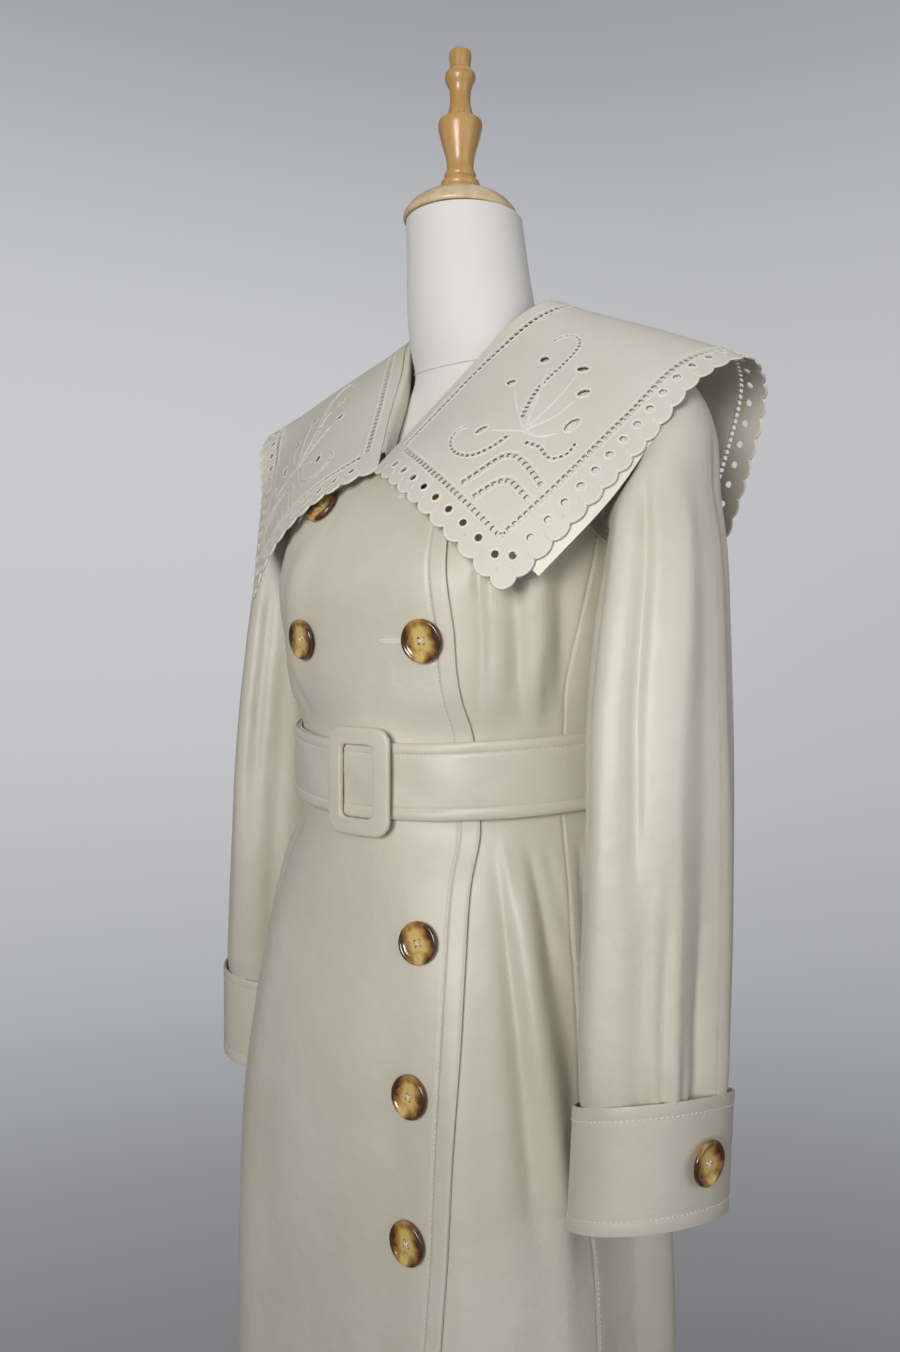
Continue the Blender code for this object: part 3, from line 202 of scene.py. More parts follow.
@dataclass(frozen=True)
class Gabardine(Finish):
    """Cotton-blend gabardine, close twill woven and pressed: a soft satin gloss on folds."""

    shade: str = "#CAC5B2"
    twill: float = 0.0011
    sheen: float = 0.10

    def inputs(self, tree: bpy.types.NodeTree) -> Dict:
        """Add the twill's ridges, the cloth's handle and its uneven dye."""
        cloth, place = place_on_cloth(tree), place_of(tree)
        # A real twill line is 0.35 mm: three times as coarse here, so that it shows.
        ridges = add_node(tree, "ShaderNodeTexWave",
                          {"Vector": cloth, "Scale": 0.444 / self.twill, "Distortion": 0.35,
                           "Detail": 1.0, "Detail Scale": 0.6},
                          wave_type="BANDS", bands_direction="DIAGONAL").outputs["Fac"]
        yarn = noise(tree, cloth, 900.0, 2.0)
        handle = noise(tree, place, 38.0, 3.0)
        dye = add_node(tree, "ShaderNodeMapRange",
                       {"Value": noise(tree, place, 7.0, 4.0), "From Min": 0.3,
                        "From Max": 0.7}).outputs["Result"]
        tone = blend(tree, dye, linear(self.colour), linear(self.shade))
        fleck = blend(tree, yarn, tone, linear("#E6E1D6"))
        gloss = add_node(tree, "ShaderNodeMapRange",
                         {"Value": handle, "To Min": self.roughness - 0.05,
                          "To Max": self.roughness + 0.07}).outputs["Result"]
        fine = bump(tree, ridges, 0.4, 0.00016)
        return {"Sheen Weight": self.sheen, "Sheen Roughness": 0.42,
                "Sheen Tint": linear("#F4F0E8"), "Specular IOR Level": 0.78,
                "Base Color": blend(tree, 0.30, tone, fleck), "Roughness": gloss,
                "Normal": bump(tree, handle, 0.75, 0.0017, Normal=fine)}


@dataclass(frozen=True)
class SatinThread(Finish):
    """Cotton embroidery and sewing thread, mercerised: a pale, silky twist."""

    twist: float = 0.0009

    def inputs(self, tree: bpy.types.NodeTree) -> Dict:
        """Add the single stitches as ridges across the cord."""
        # A real thread is 0.3 mm thick: three times as coarse here, so that it shows.
        stitch = noise(tree, place_of(tree), 0.62 / self.twist, 2.0)
        return {"Sheen Weight": 0.30, "Sheen Roughness": 0.35,
                "Base Color": blend(tree, stitch, linear(self.colour), linear("#EAE7DF")),
                "Normal": bump(tree, stitch, 0.45, 0.0003)}


@dataclass(frozen=True)
class MottledHorn(Finish):
    """Polyester resin cast like horn and polished: honey with burnt brown clouds, and painted
    shade darkening its rim.
    """

    dark: str = "#4A2A14"
    amber: str = "#D9BD74"

    def inputs(self, tree: bpy.types.NodeTree) -> Dict:
        """Add the brown clouds, the painted shade and dark reflection on the rim and its two
        sides, and the polish.
        """
        place = place_on_cloth(tree)
        centred = add_node(tree, "ShaderNodeVectorMath", {0: place, 1: (0.5, 0.5, 0.0)},
                           operation="SUBTRACT").outputs["Vector"]
        away = add_node(tree, "ShaderNodeVectorMath", {0: centred}, operation="LENGTH")
        halves = add_node(tree, "ShaderNodeSeparateXYZ", {"Vector": centred})
        side = add_node(tree, "ShaderNodeMath", {0: halves.outputs["X"]}, operation="ABSOLUTE")
        cloud = noise(tree, place, 2.4, 3.0, 0.7)
        # Painted shade and dark reflection: darker towards the rim and on the button's two sides,
        # nearly the same way round on every button.
        spread = add_node(tree, "ShaderNodeMath",
                          {0: side.outputs["Value"], 1: 2.4, 2: away.outputs["Value"]},
                          operation="MULTIPLY_ADD")
        painted_rim_shade = add_node(tree, "ShaderNodeMath", {0: spread.outputs["Value"], 1: 0.34},
                       operation="MULTIPLY")
        mixed = add_node(tree, "ShaderNodeMath", {0: cloud, 1: 0.84, 2: painted_rim_shade.outputs["Value"]},
                         operation="MULTIPLY_ADD")
        ramp = colour_ramp(tree, mixed.outputs["Value"],
                           ((0.52, self.amber), (0.68, self.colour), (0.84, self.dark)))
        return {"Coat Weight": 0.7, "Coat Roughness": 0.06, "IOR": 1.54,
                "Base Color": ramp.outputs["Color"]}


@dataclass(frozen=True)
class FormJersey(Finish):
    """Cotton jersey stretched over a papier-mache form: matt white, a faint knit."""

    def inputs(self, tree: bpy.types.NodeTree) -> Dict:
        """Add the knit's grain and a little yellowing."""
        place = place_of(tree)
        # Knit stitches are 0.6 mm: drawn at 1.1 mm, so that they show.
        knit = noise(tree, place, 560.0, 1.0)
        age = noise(tree, place, 5.0, 3.0)
        return {"Sheen Weight": 0.15,
                "Base Color": blend(tree, age, linear(self.colour), linear("#E9E7E4")),
                "Normal": bump(tree, knit, 0.25, 0.0002)}


@dataclass(frozen=True)
class TurnedBeech(Finish):
    """Beech, turned on a lathe and clear lacquered: pale gold with short grain flecks."""

    grain: str = "#BC9153"

    def inputs(self, tree: bpy.types.NodeTree) -> Dict:
        """Add the grain, drawn out along the height, and the lacquer."""
        drawn = add_node(tree, "ShaderNodeMapping",
                         {"Vector": place_of(tree),
                          "Scale": (1.0, 1.0, 0.09)}).outputs["Vector"]
        # Growth rings 3 mm apart, and flecks a third of a millimetre wide.
        rings = noise(tree, drawn, 150.0, 4.0, 0.6)
        flecks = noise(tree, drawn, 900.0, 1.0)
        both = add_node(tree, "ShaderNodeMath", {0: flecks, 1: 0.35, 2: rings},
                        operation="MULTIPLY_ADD")
        ramp = colour_ramp(tree, both.outputs["Value"], ((0.45, self.colour), (0.85, self.grain)))
        return {"Coat Weight": 0.35, "Coat Roughness": 0.18, "Base Color": ramp.outputs["Color"],
                "Normal": bump(tree, flecks, 0.2, 0.0002)}


@dataclass(frozen=True)
class PowderCoat(Finish):
    """Steel, powder coated in off-white: a fine orange peel and a dull gloss."""

    def inputs(self, tree: bpy.types.NodeTree) -> Dict:
        """Add the coat's orange peel and a trace of dust."""
        place = place_of(tree)
        peel = noise(tree, place, 420.0, 1.0)
        dust = noise(tree, place, 14.0, 3.0)
        return {"Base Color": blend(tree, dust, linear(self.colour), linear("#D9D6CE")),
                "Normal": bump(tree, peel, 0.2, 0.0002)}


GABARDINE = Gabardine("woven_gabardine", "#D8D4C5", 0.41)
COLLAR_CLOTH_FINISH = Gabardine("whitework_ground", "#DCD8CB", 0.52, "#D1CCBB", 0.0011, 0.12)
# The coat's gabardine painted much paler for the under-collar: a painted glow of light shining
# through the thin cloth into its shade.
UNDER_COLLAR_PAINTED_GLOW = Gabardine("under_collar_painted_glow", "#F0ECDD", 0.50, "#E6E0CD")
EMBROIDERY = SatinThread("whitework_thread", "#E0DCD2", 0.44)
SEWING = SatinThread("topstitch_thread", "#E2DCCD", 0.48, 0.0007)
HORN = MottledHorn("cast_horn_resin", "#A87D3A", 0.20)
JERSEY = FormJersey("form_jersey", "#E4E3E0", 0.72)
BEECH = TurnedBeech("lacquered_beech", "#CFA76C", 0.34)
PALE_BEECH = TurnedBeech("lacquered_beech_pale", "#E3D0AA", 0.34, "#D2B78B")
STEEL = PowderCoat("powder_coated_steel", "#E7E4DC", 0.42)


# ------------------------------------------------------------------ numbers
def column(rows: Rows, index: int) -> np.ndarray:
    """Return one column of a table as an array."""
    return np.array([row[index] for row in rows], dtype=float)


def smooth_curve(knots: np.ndarray, values: np.ndarray, at: np.ndarray) -> np.ndarray:
    """Read a smooth curve through its knots, by cubic pieces with mean slopes.

    Args:
        knots: the places of the knots, rising.
        values: one number, or one row of numbers, for each knot.
        at: where the curve is read.

    Returns:
        The curve at each place, with the straight run of its ends beyond them.
    """
    at = np.asarray(at, dtype=float)
    values = np.asarray(values, dtype=float)
    tail = (1,) * (values.ndim - 1)
    gaps = np.diff(knots).reshape(-1, *tail)
    slopes = np.diff(values, axis=0) / gaps
    tangents = np.empty(values.shape)
    tangents[0] = slopes[0]
    tangents[-1] = slopes[-1]
    tangents[1:-1] = (slopes[:-1] * gaps[1:] + slopes[1:] * gaps[:-1]) / (gaps[1:] + gaps[:-1])
    i = np.clip(np.searchsorted(knots, at) - 1, 0, len(knots) - 2)
    h = gaps[i]
    shape = at.shape + tail
    wide = np.reshape(at, shape)
    t = (wide - np.reshape(knots[i], shape)) / h
    inside = ((2 * t ** 3 - 3 * t ** 2 + 1) * values[i]
              + (t ** 3 - 2 * t ** 2 + t) * h * tangents[i]
              + (3 * t ** 2 - 2 * t ** 3) * values[i + 1]
              + (t ** 3 - t ** 2) * h * tangents[i + 1])
    before = values[0] + (wide - knots[0]) * tangents[0]
    after = values[-1] + (wide - knots[-1]) * tangents[-1]
    return np.where(wide < knots[0], before, np.where(wide > knots[-1], after, inside))


def read_table(rows: Rows, index: int, at: np.ndarray) -> np.ndarray:
    """Read one column of a section table at the given heights or counts."""
    return smooth_curve(column(rows, 0), column(rows, index), at)


def smooth_step(x: np.ndarray) -> np.ndarray:
    """Rise smoothly from 0 to 1 as x does."""
    x = np.clip(x, 0.0, 1.0)
    return x * x * (3.0 - 2.0 * x)


def bell(away: np.ndarray, width: float) -> np.ndarray:
    """Fall smoothly from 1 to 0 away from a middle."""
    return np.exp(-(away / width) ** 2)


def turn_between(angle: np.ndarray, other: np.ndarray) -> np.ndarray:
    """Return the short way from one angle to another, in degrees."""
    return (angle - other + 180.0) % 360.0 - 180.0


def length_of(path: np.ndarray) -> float:
    """Return the length of a path of points."""
    return float(np.linalg.norm(np.diff(path, axis=0), axis=-1).sum())


def unit(vectors: np.ndarray) -> np.ndarray:
    """Return the vectors at length 1."""
    return vectors / np.maximum(np.linalg.norm(vectors, axis=-1, keepdims=True), 1e-12)


def level_ways(vectors: np.ndarray) -> np.ndarray:
    """Return the vectors' level directions, at length 1."""
    return unit(vectors * np.array([1.0, 1.0, 0.0]))


def normals_of(surface: Callable, u: np.ndarray, v: np.ndarray, step_u: float,
               step_v: float) -> np.ndarray:
    """Return unit normals of a surface of two numbers, by differences."""
    along = surface(u + step_u, v) - surface(u - step_u, v)
    up = surface(u, v + step_v) - surface(u, v - step_v)
    return unit(np.cross(along, up))


# ------------------------------------------------------------------ meshes
def signed_volume(points: np.ndarray, faces: Faces) -> float:
    """Return six times the signed volume that the faces enclose."""
    first = np.array([face[0] for face in faces])
    total = 0.0
    size = max(len(face) for face in faces)
    for k in range(1, size - 1):
        chosen = [i for i, face in enumerate(faces) if len(face) > k + 1]
        b = np.array([faces[i][k] for i in chosen])
        c = np.array([faces[i][k + 1] for i in chosen])
        a = first[chosen]
        total += float(np.sum(points[a] * np.cross(points[b], points[c])))
    return total


def link_object(name: str, data: Optional[bpy.types.ID]) -> bpy.types.Object:
    """Make an object of its data and link it to the scene."""
    obj = bpy.data.objects.new(name, data)
    bpy.context.collection.objects.link(obj)
    return obj


def set_uvs(mesh: bpy.types.Mesh, uvs: np.ndarray) -> None:
    """Give a mesh the place of each of its points on the cloth."""
    layer = mesh.uv_layers.get(UV_NAME) or mesh.uv_layers.new(name=UV_NAME)
    corner = np.empty(len(mesh.loops), dtype=np.int32)
    mesh.loops.foreach_get("vertex_index", corner)
    layer.data.foreach_set("uv", uvs[corner][:, :2].astype(np.float32).ravel())


def finish_mesh(mesh: bpy.types.Mesh, finish: Finish, sharp: float) -> None:
    """Give a mesh its finish and smooth faces, but for edges that bend more than sharp."""
    mesh.materials.clear()
    mesh.materials.append(finish.material())
    mesh.shade_smooth()
    mesh.set_sharp_from_angle(angle=math.radians(sharp))


def spin_profile(name: str, profile: Rows, axis_y: float, steps: int) -> bpy.types.Object:
    """Spin a profile about its upright axis.

    Args:
        name: the object's name.
        profile: radius and height pairs whose ends lie on the axis.
        axis_y: where the axis stands.
        steps: how many steps the turn has.

    Returns:
        The closed object, which is the active one.
    """
    bpy.ops.object.select_all(action="DESELECT")
    mesh = bpy.data.meshes.new(name)
    mesh.from_pydata([(r, axis_y, h) for r, h in profile],
                     [(i, i + 1) for i in range(len(profile) - 1)], [])
    obj = link_object(name, mesh)
    bpy.context.view_layer.objects.active = obj
    obj.select_set(True)
    bpy.ops.object.mode_set(mode="EDIT")
    bpy.ops.mesh.select_all(action="SELECT")
    bpy.ops.mesh.spin(steps=steps, angle=2.0 * math.pi, center=(0.0, axis_y, 0.0),
                      axis=(0.0, 0.0, 1.0))
    bpy.ops.mesh.select_all(action="SELECT")
    bpy.ops.mesh.remove_doubles(threshold=0.00001)
    bpy.ops.mesh.normals_make_consistent(inside=False)
    bpy.ops.object.mode_set(mode="OBJECT")
    return obj


def add_piece(name: str, points: np.ndarray, faces: Faces, finish: Finish,
              uvs: Optional[np.ndarray] = None, sharp: float = 50.0) -> bpy.types.Object:
    """Make one object from points and faces, turned so that its faces point out.

    Args:
        name: the object's name.
        points: the corners, in metres.
        faces: the faces, as numbers of corners.
        finish: the finish of the whole piece.
        uvs: the place of each corner on the cloth, in metres.
        sharp: edges that bend more than this, in degrees, stay sharp.

    Returns:
        The object, with its place in its mesh.
    """
    points = np.asarray(points, dtype=float)
    if signed_volume(points, faces) < 0.0:
        faces = [tuple(reversed(face)) for face in faces]
    mesh = bpy.data.meshes.new(name)
    mesh.from_pydata(points.tolist(), [], faces)
    if uvs is not None:
        set_uvs(mesh, uvs)
    finish_mesh(mesh, finish, sharp)
    return link_object(name, mesh)


def grid_faces(rows: int, columns: int, wrap: bool) -> Faces:
    """Return the faces of a closed wall whose outer grid comes before its inner one."""
    count = rows * columns
    spans = columns if wrap else columns - 1
    faces: Faces = []
    for i in range(rows - 1):
        for j in range(spans):
            k = (j + 1) % columns
            quad = (i * columns + j, i * columns + k, (i + 1) * columns + k,
                    (i + 1) * columns + j)
            faces.append(quad)
            faces.append(tuple(q + count for q in reversed(quad)))
    for i in (0, rows - 1):
        for j in range(spans):
            k = (j + 1) % columns
            quad = (i * columns + k, i * columns + j, i * columns + j + count,
                    i * columns + k + count)
            faces.append(quad if i == 0 else tuple(reversed(quad)))
    if not wrap:
        for j in (0, columns - 1):
            for i in range(rows - 1):
                quad = (i * columns + j, (i + 1) * columns + j,
                        (i + 1) * columns + j + count, i * columns + j + count)
                faces.append(quad if j == 0 else tuple(reversed(quad)))
    return faces


def wall(name: str, outer: np.ndarray, inner: np.ndarray, finish: Finish,
         wrap: bool = False) -> bpy.types.Object:
    """Make a closed wall of cloth from an outer and an inner grid of points."""
    rows, columns = outer.shape[:2]
    points = np.concatenate([outer.reshape(-1, 3), inner.reshape(-1, 3)])
    along = np.linalg.norm(np.diff(outer, axis=1), axis=-1).mean(axis=0)
    up = np.linalg.norm(np.diff(outer, axis=0), axis=-1).mean(axis=1)
    u = np.concatenate([[0.0], np.cumsum(along)])
    v = np.concatenate([[0.0], np.cumsum(up)])
    flat = np.stack(np.meshgrid(u, v), axis=-1).reshape(-1, 2)
    return add_piece(name, points, grid_faces(rows, columns, wrap), finish,
                     np.concatenate([flat, flat]))


def dress_node(piece: bpy.types.Object, node: str) -> None:
    """Let a piece ride on the part and stand for a node, whose part it hides."""
    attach(piece, "root")
    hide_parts(node)
    LOG.info("%s: %d faces", piece.name, len(piece.data.polygons))


def cloth_wall(name: str, node: str, outer: np.ndarray, inner: np.ndarray,
               wrap: bool = False) -> None:
    """Make a closed wall of gabardine for a node.

    Args:
        name: the piece's name.
        node: the node that it stands for.
        outer: the outer grid of points, row by row from the foot up.
        inner: the inner grid.
        wrap: whether the grid closes on itself.
    """
    piece = wall(name, outer, inner, GABARDINE, wrap)
    dress_node(piece, node)


def tube(path: np.ndarray, across: np.ndarray, up: np.ndarray, half_wide: np.ndarray,
         half_high: np.ndarray, sides: int, closed: bool) -> Tuple[np.ndarray, Faces]:
    """Make a cord with an oval section along a path.

    Args:
        path: the points of its middle line.
        across: unit vectors across the cord.
        up: unit vectors out of the cloth.
        half_wide: half its width at each point.
        half_high: half its height at each point.
        sides: how many sides the section has.
        closed: whether the path ends where it starts.

    Returns:
        The points and the faces.
    """
    count = len(path)
    turn = 2.0 * math.pi * np.arange(sides) / sides
    points = (path[:, None] + across[:, None] * (half_wide[:, None] * np.cos(turn))[..., None]
              + up[:, None] * (half_high[:, None] * np.sin(turn))[..., None])
    faces: Faces = []
    for i in range(count if closed else count - 1):
        k = (i + 1) % count
        for j in range(sides):
            m = (j + 1) % sides
            faces.append((i * sides + j, i * sides + m, k * sides + m, k * sides + j))
    if not closed:
        faces.append(tuple(reversed(range(sides))))
        faces.append(tuple((count - 1) * sides + j for j in range(sides)))
    return points.reshape(-1, 3), faces


@dataclass
class Bundle:
    """Many small closed shapes, gathered into one mesh."""

    points: List[np.ndarray] = field(default_factory=list)
    faces: Faces = field(default_factory=list)
    count: int = 0

    def add(self, points: np.ndarray, faces: Faces) -> None:
        """Add one closed shape."""
        if signed_volume(points, faces) < 0.0:
            faces = [tuple(reversed(face)) for face in faces]
        self.points.append(points)
        self.faces.extend(tuple(i + self.count for i in face) for face in faces)
        self.count += len(points)

    def piece(self, name: str, finish: Finish, slot: str) -> bpy.types.Object:
        """Make the object and let it ride on the part."""
        obj = add_piece(name, np.concatenate(self.points), self.faces, finish, sharp=80.0)
        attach(obj, "root")
        LOG.info("%s: %d faces", name, len(self.faces))
        return obj


@dataclass
class StitchRun:
    """Topstitching: short raised stitches of thread along lines on the cloth."""

    pitch: float = 0.0037
    length: float = 0.0025
    half_wide: float = 0.00048
    rise: float = 0.00060
    sunk_ends: float = 0.0001
    sunk_foot: float = 0.0002
    bundle: Bundle = field(default_factory=Bundle)

    def sew(self, path: np.ndarray, outwards: np.ndarray) -> None:
        """Sew along a path that lies on the cloth.

        Args:
            path: the points of the seam line on the cloth's face.
            outwards: the cloth's unit normals at those points.
        """
        steps = np.linalg.norm(np.diff(path, axis=0), axis=-1)
        run = np.concatenate([[0.0], np.cumsum(steps)])
        starts = np.arange(0.5 * self.pitch, run[-1] - self.length, self.pitch)
        shares = np.array([0.0, 0.25, 0.75, 1.0])
        at = (starts[:, None] + shares[None] * self.length).ravel()
        place = np.stack([np.interp(at, run, path[:, k]) for k in range(3)], axis=-1)
        normal = np.stack([np.interp(at, run, outwards[:, k]) for k in range(3)], axis=-1)
        place = place.reshape(-1, 4, 3)
        normal = unit(normal).reshape(-1, 4, 3)
        ahead = unit(place[:, 3] - place[:, 0])
        faces: Faces = [(0, 1, 2), (0, 2, 3), (0, 3, 4), (0, 4, 1)]
        faces += [(1 + i, 5 + i, 5 + (i + 1) % 4, 1 + (i + 1) % 4) for i in range(4)]
        faces += [(9, 6, 5), (9, 7, 6), (9, 8, 7), (9, 5, 8)]
        for k in range(len(starts)):
            across = np.cross(normal[k, 1], ahead[k])
            corners = [place[k, 0] - normal[k, 0] * self.sunk_ends]
            for s in (1, 2):
                low = place[k, s] - normal[k, s] * self.sunk_foot
                mid = place[k, s] + normal[k, s] * 0.4 * self.rise
                top = place[k, s] + normal[k, s] * self.rise
                corners += [low, mid + across * self.half_wide, top,
                            mid - across * self.half_wide]
            corners.append(place[k, 3] - normal[k, 3] * self.sunk_ends)
            self.bundle.add(np.array(corners), faces)


# ------------------------------------------------------------------ the coat's body
@dataclass
class BodySurface:
    """The inner face of the coat's body, by angle from the centre front and by height."""

    # Height, half width, depths to the front and the back, squareness, shift of the middle.
    sections: Rows = (
        (0.300, 0.186, 0.154, 0.164, 2.8, -0.004, 0.000),
        (0.520, 0.183, 0.153, 0.160, 2.9, -0.004, 0.000),
        (0.660, 0.180, 0.150, 0.156, 3.0, -0.004, 0.000),
        (0.770, 0.175, 0.147, 0.149, 3.0, -0.004, 0.000),
        (0.840, 0.170, 0.142, 0.140, 2.8, -0.003, 0.000),
        (0.906, 0.162, 0.134, 0.130, 2.6, -0.002, 0.000),
        (0.958, 0.153, 0.1275, 0.119, 2.3, 0.000, 0.000),
        (0.992, 0.1448, 0.1204, 0.1088, 2.0, 0.001, 0.000),
        (1.030, 0.1440, 0.1200, 0.1080, 2.0, 0.001, 0.000),
        (1.070, 0.1448, 0.1204, 0.1088, 2.0, 0.001, 0.000),
        (1.092, 0.150, 0.1235, 0.114, 2.2, 0.000, 0.000),
        (1.134, 0.158, 0.127, 0.119, 2.3, 0.000, 0.000),
        (1.186, 0.164, 0.131, 0.121, 2.3, 0.000, 0.000),
        (1.222, 0.167, 0.118, 0.121, 2.3, 0.000, 0.001),
        (1.262, 0.170, 0.0960, 0.119, 2.2, 0.000, 0.003),
        (1.300, 0.174, 0.0705, 0.113, 2.1, 0.000, 0.008),
        (1.326, 0.182, 0.0530, 0.098, 2.0, 0.000, 0.014),
        (1.340, 0.182, 0.0470, 0.088, 2.0, 0.000, 0.016),
        (1.351, 0.152, 0.0400, 0.078, 2.0, 0.000, 0.018),
        (1.371, 0.106, 0.0300, 0.072, 2.0, 0.000, 0.020),
        (1.386, 0.0790, 0.0260, 0.071, 2.0, 0.000, 0.020),
        (1.412, 0.0775, 0.0200, 0.070, 2.0, 0.000, 0.020),
    )
    # Angle at the top and the foot, heights of both ends, width in degrees, depth outwards.
    folds: Rows = (
        (46.5, 61.0, 0.995, 0.690, 4.6, -0.0064),
        (52.5, 70.0, 0.995, 0.670, 6.0, 0.0060),
        (59.5, 82.0, 0.995, 0.670, 6.5, -0.0056),
        (66.0, 70.0, 0.985, 0.250, 6.0, 0.0030),
        (58.0, 52.0, 0.700, 0.250, 9.0, -0.0050),
        (33.0, 38.0, 0.985, 0.250, 7.0, 0.0030),
        (15.0, 10.0, 0.980, 0.250, 9.0, -0.0030),
        (-22.0, -26.0, 0.985, 0.250, 8.0, 0.0030),
        (-44.0, -52.0, 0.985, 0.250, 7.0, -0.0050),
        (-60.0, -70.0, 0.985, 0.250, 7.0, 0.0060),
        (-84.0, -90.0, 0.985, 0.250, 8.0, -0.0060),
        (86.0, 92.0, 0.985, 0.250, 8.0, -0.0060),
        (104.0, 108.0, 0.990, 0.250, 8.0, 0.0080),
        (126.0, 130.0, 0.990, 0.250, 8.0, -0.0080),
        (150.0, 152.0, 0.990, 0.250, 8.0, 0.0080),
        (172.0, 171.0, 0.990, 0.250, 7.0, -0.0060),
        (-106.0, -110.0, 0.990, 0.250, 8.0, 0.0080),
        (-128.0, -132.0, 0.990, 0.250, 8.0, -0.0080),
        (-152.0, -154.0, 0.990, 0.250, 8.0, 0.0080),
        (-173.0, -172.0, 0.990, 0.250, 7.0, -0.0060),
        (-93.0, -93.0, 0.860, 0.580, 14.0, -0.0075),
        (43.5, 48.0, 1.225, 1.066, 4.6, 0.0034),
        (48.5, 54.5, 1.225, 1.066, 4.2, -0.0054),
        (55.0, 61.5, 1.225, 1.066, 6.0, 0.0052),
        (65.0, 70.0, 1.215, 1.066, 5.0, -0.0045),
        (-12.0, -34.0, 1.230, 1.066, 6.0, 0.0030),
        (-40.0, -50.0, 1.220, 1.066, 5.0, -0.0040),
        (130.0, 138.0, 1.260, 1.066, 7.0, -0.0060),
        (152.0, 156.0, 1.260, 1.066, 7.0, 0.0050),
        (-130.0, -138.0, 1.260, 1.066, 7.0, -0.0060),
        (-152.0, -156.0, 1.260, 1.066, 7.0, 0.0050),
        # Finer creases that the solids leave out.
        (38.8, 42.6, 1.215, 1.066, 2.0, -0.0030),
        (51.0, 57.5, 1.150, 1.066, 2.2, -0.0018),
        (60.0, 66.0, 1.130, 1.066, 2.2, -0.0016),
        (48.8, 55.0, 0.995, 0.880, 2.0, 0.0016),
        (56.0, 67.0, 0.995, 0.890, 2.2, -0.0018),
        (62.0, 74.0, 0.995, 0.900, 2.2, -0.0012),
        (10.0, 5.0, 1.130, 1.062, 3.0, -0.0009),
        (-30.0, -22.0, 1.120, 1.062, 3.0, -0.0010),
        (-33.0, -30.0, 0.998, 0.910, 2.6, -0.0012),
        (-52.0, -58.0, 0.998, 0.880, 2.4, -0.0016),
        (76.0, 79.0, 0.998, 0.870, 2.4, -0.0016),
        (95.0, 98.0, 0.998, 0.860, 2.6, -0.0018),
        (116.0, 118.0, 0.998, 0.880, 2.4, -0.0018),
        (140.0, 141.0, 0.998, 0.850, 2.6, -0.0018),
        (161.0, 162.0, 0.998, 0.880, 2.4, -0.0018),
        (-95.0, -97.0, 0.998, 0.870, 2.6, -0.0018),
        (-117.0, -119.0, 0.998, 0.860, 2.4, -0.0018),
        (-141.0, -142.0, 0.998, 0.880, 2.6, -0.0018),
        (-162.0, -163.0, 0.998, 0.850, 2.4, -0.0018),
        (120.0, 126.0, 1.160, 1.066, 2.4, -0.0016),
        (143.0, 147.0, 1.170, 1.066, 2.4, -0.0016),
        (166.0, 168.0, 1.150, 1.066, 2.4, -0.0014),
        (-121.0, -127.0, 1.170, 1.066, 2.4, -0.0016),
        (-144.0, -147.0, 1.150, 1.066, 2.4, -0.0016),
        (-166.0, -168.0, 1.165, 1.066, 2.4, -0.0014),
    )
    fold_fade: float = 0.30
    # Slow drags of the cloth: turns round the body, rise for each turn, height, depth.
    drags: Rows = ((3.0, 0.9, 0.00090), (5.0, -1.3, 0.00080), (8.0, 2.1, 0.00050))

    def fold_depth(self, angle: np.ndarray, z: np.ndarray) -> np.ndarray:
        """Return how far the folds move the body outwards."""
        total = np.zeros(np.broadcast(angle, z).shape)
        for top_angle, foot_angle, top_z, foot_z, width, depth in self.folds:
            share = np.clip((top_z - z) / (top_z - foot_z), 0.0, 1.0)
            middle = top_angle + (foot_angle - top_angle) * share
            spread = width * (0.7 + 0.5 * share)
            away = turn_between(angle, middle)
            fade = self.fold_fade * (top_z - foot_z)
            start = smooth_step((top_z - z) / fade)
            end = smooth_step((z - foot_z) / fade)
            total = total + depth * start * end * bell(away, spread)
        for turns, rise, depth in self.drags:
            total = total + depth * np.sin(np.radians(angle) * turns + z * 9.0 * rise)
        return total

    def base(self, angle: np.ndarray, z: np.ndarray) -> np.ndarray:
        """Return points on the inner face, without folds."""
        angle, z = np.broadcast_arrays(np.asarray(angle, float), np.asarray(z, float))
        side, front, back, square, mid_x, mid_y = (
            read_table(self.sections, i, z) for i in range(1, 7))
        sine = np.sin(np.radians(angle))
        cosine = np.cos(np.radians(angle))
        facing = cosine > 0.0
        power = np.where(facing, 2.0 / square, 1.0)
        x = mid_x + side * np.sign(sine) * np.abs(sine) ** power
        depth = np.where(facing, front, back)
        y = mid_y - depth * np.sign(cosine) * np.abs(cosine) ** power
        return np.stack([x, y, z], axis=-1)

    def folded(self, angle: np.ndarray, z: np.ndarray) -> np.ndarray:
        """Return points on the inner face, with its folds."""
        angle, z = np.broadcast_arrays(np.asarray(angle, float), np.asarray(z, float))
        outwards = normals_of(self.base, angle, z, 1.0, 0.004)
        return self.base(angle, z) + outwards * self.fold_depth(angle, z)[..., None]

    def outwards(self, angle: np.ndarray, z: np.ndarray) -> np.ndarray:
        """Return the unit normals of the folded cloth."""
        return normals_of(self.folded, angle, z, 0.6, 0.003)

    def point(self, angle: np.ndarray, z: np.ndarray, lift: np.ndarray) -> np.ndarray:
        """Return points of the body moved out by lift."""
        angle, z = np.broadcast_arrays(np.asarray(angle, float), np.asarray(z, float))
        lift = np.broadcast_to(lift, angle.shape)
        return self.folded(angle, z) + self.outwards(angle, z) * lift[..., None]

    def angle_at_x(self, x: np.ndarray, z: np.ndarray) -> np.ndarray:
        """Return the angle on the front half where the body reaches x."""
        side, square, mid_x = (read_table(self.sections, i, z) for i in (1, 4, 5))
        share = np.clip((x - mid_x) / side, -1.0, 1.0)
        return np.degrees(np.arcsin(np.sign(share) * np.abs(share) ** (square / 2.0)))


BODY = BodySurface()


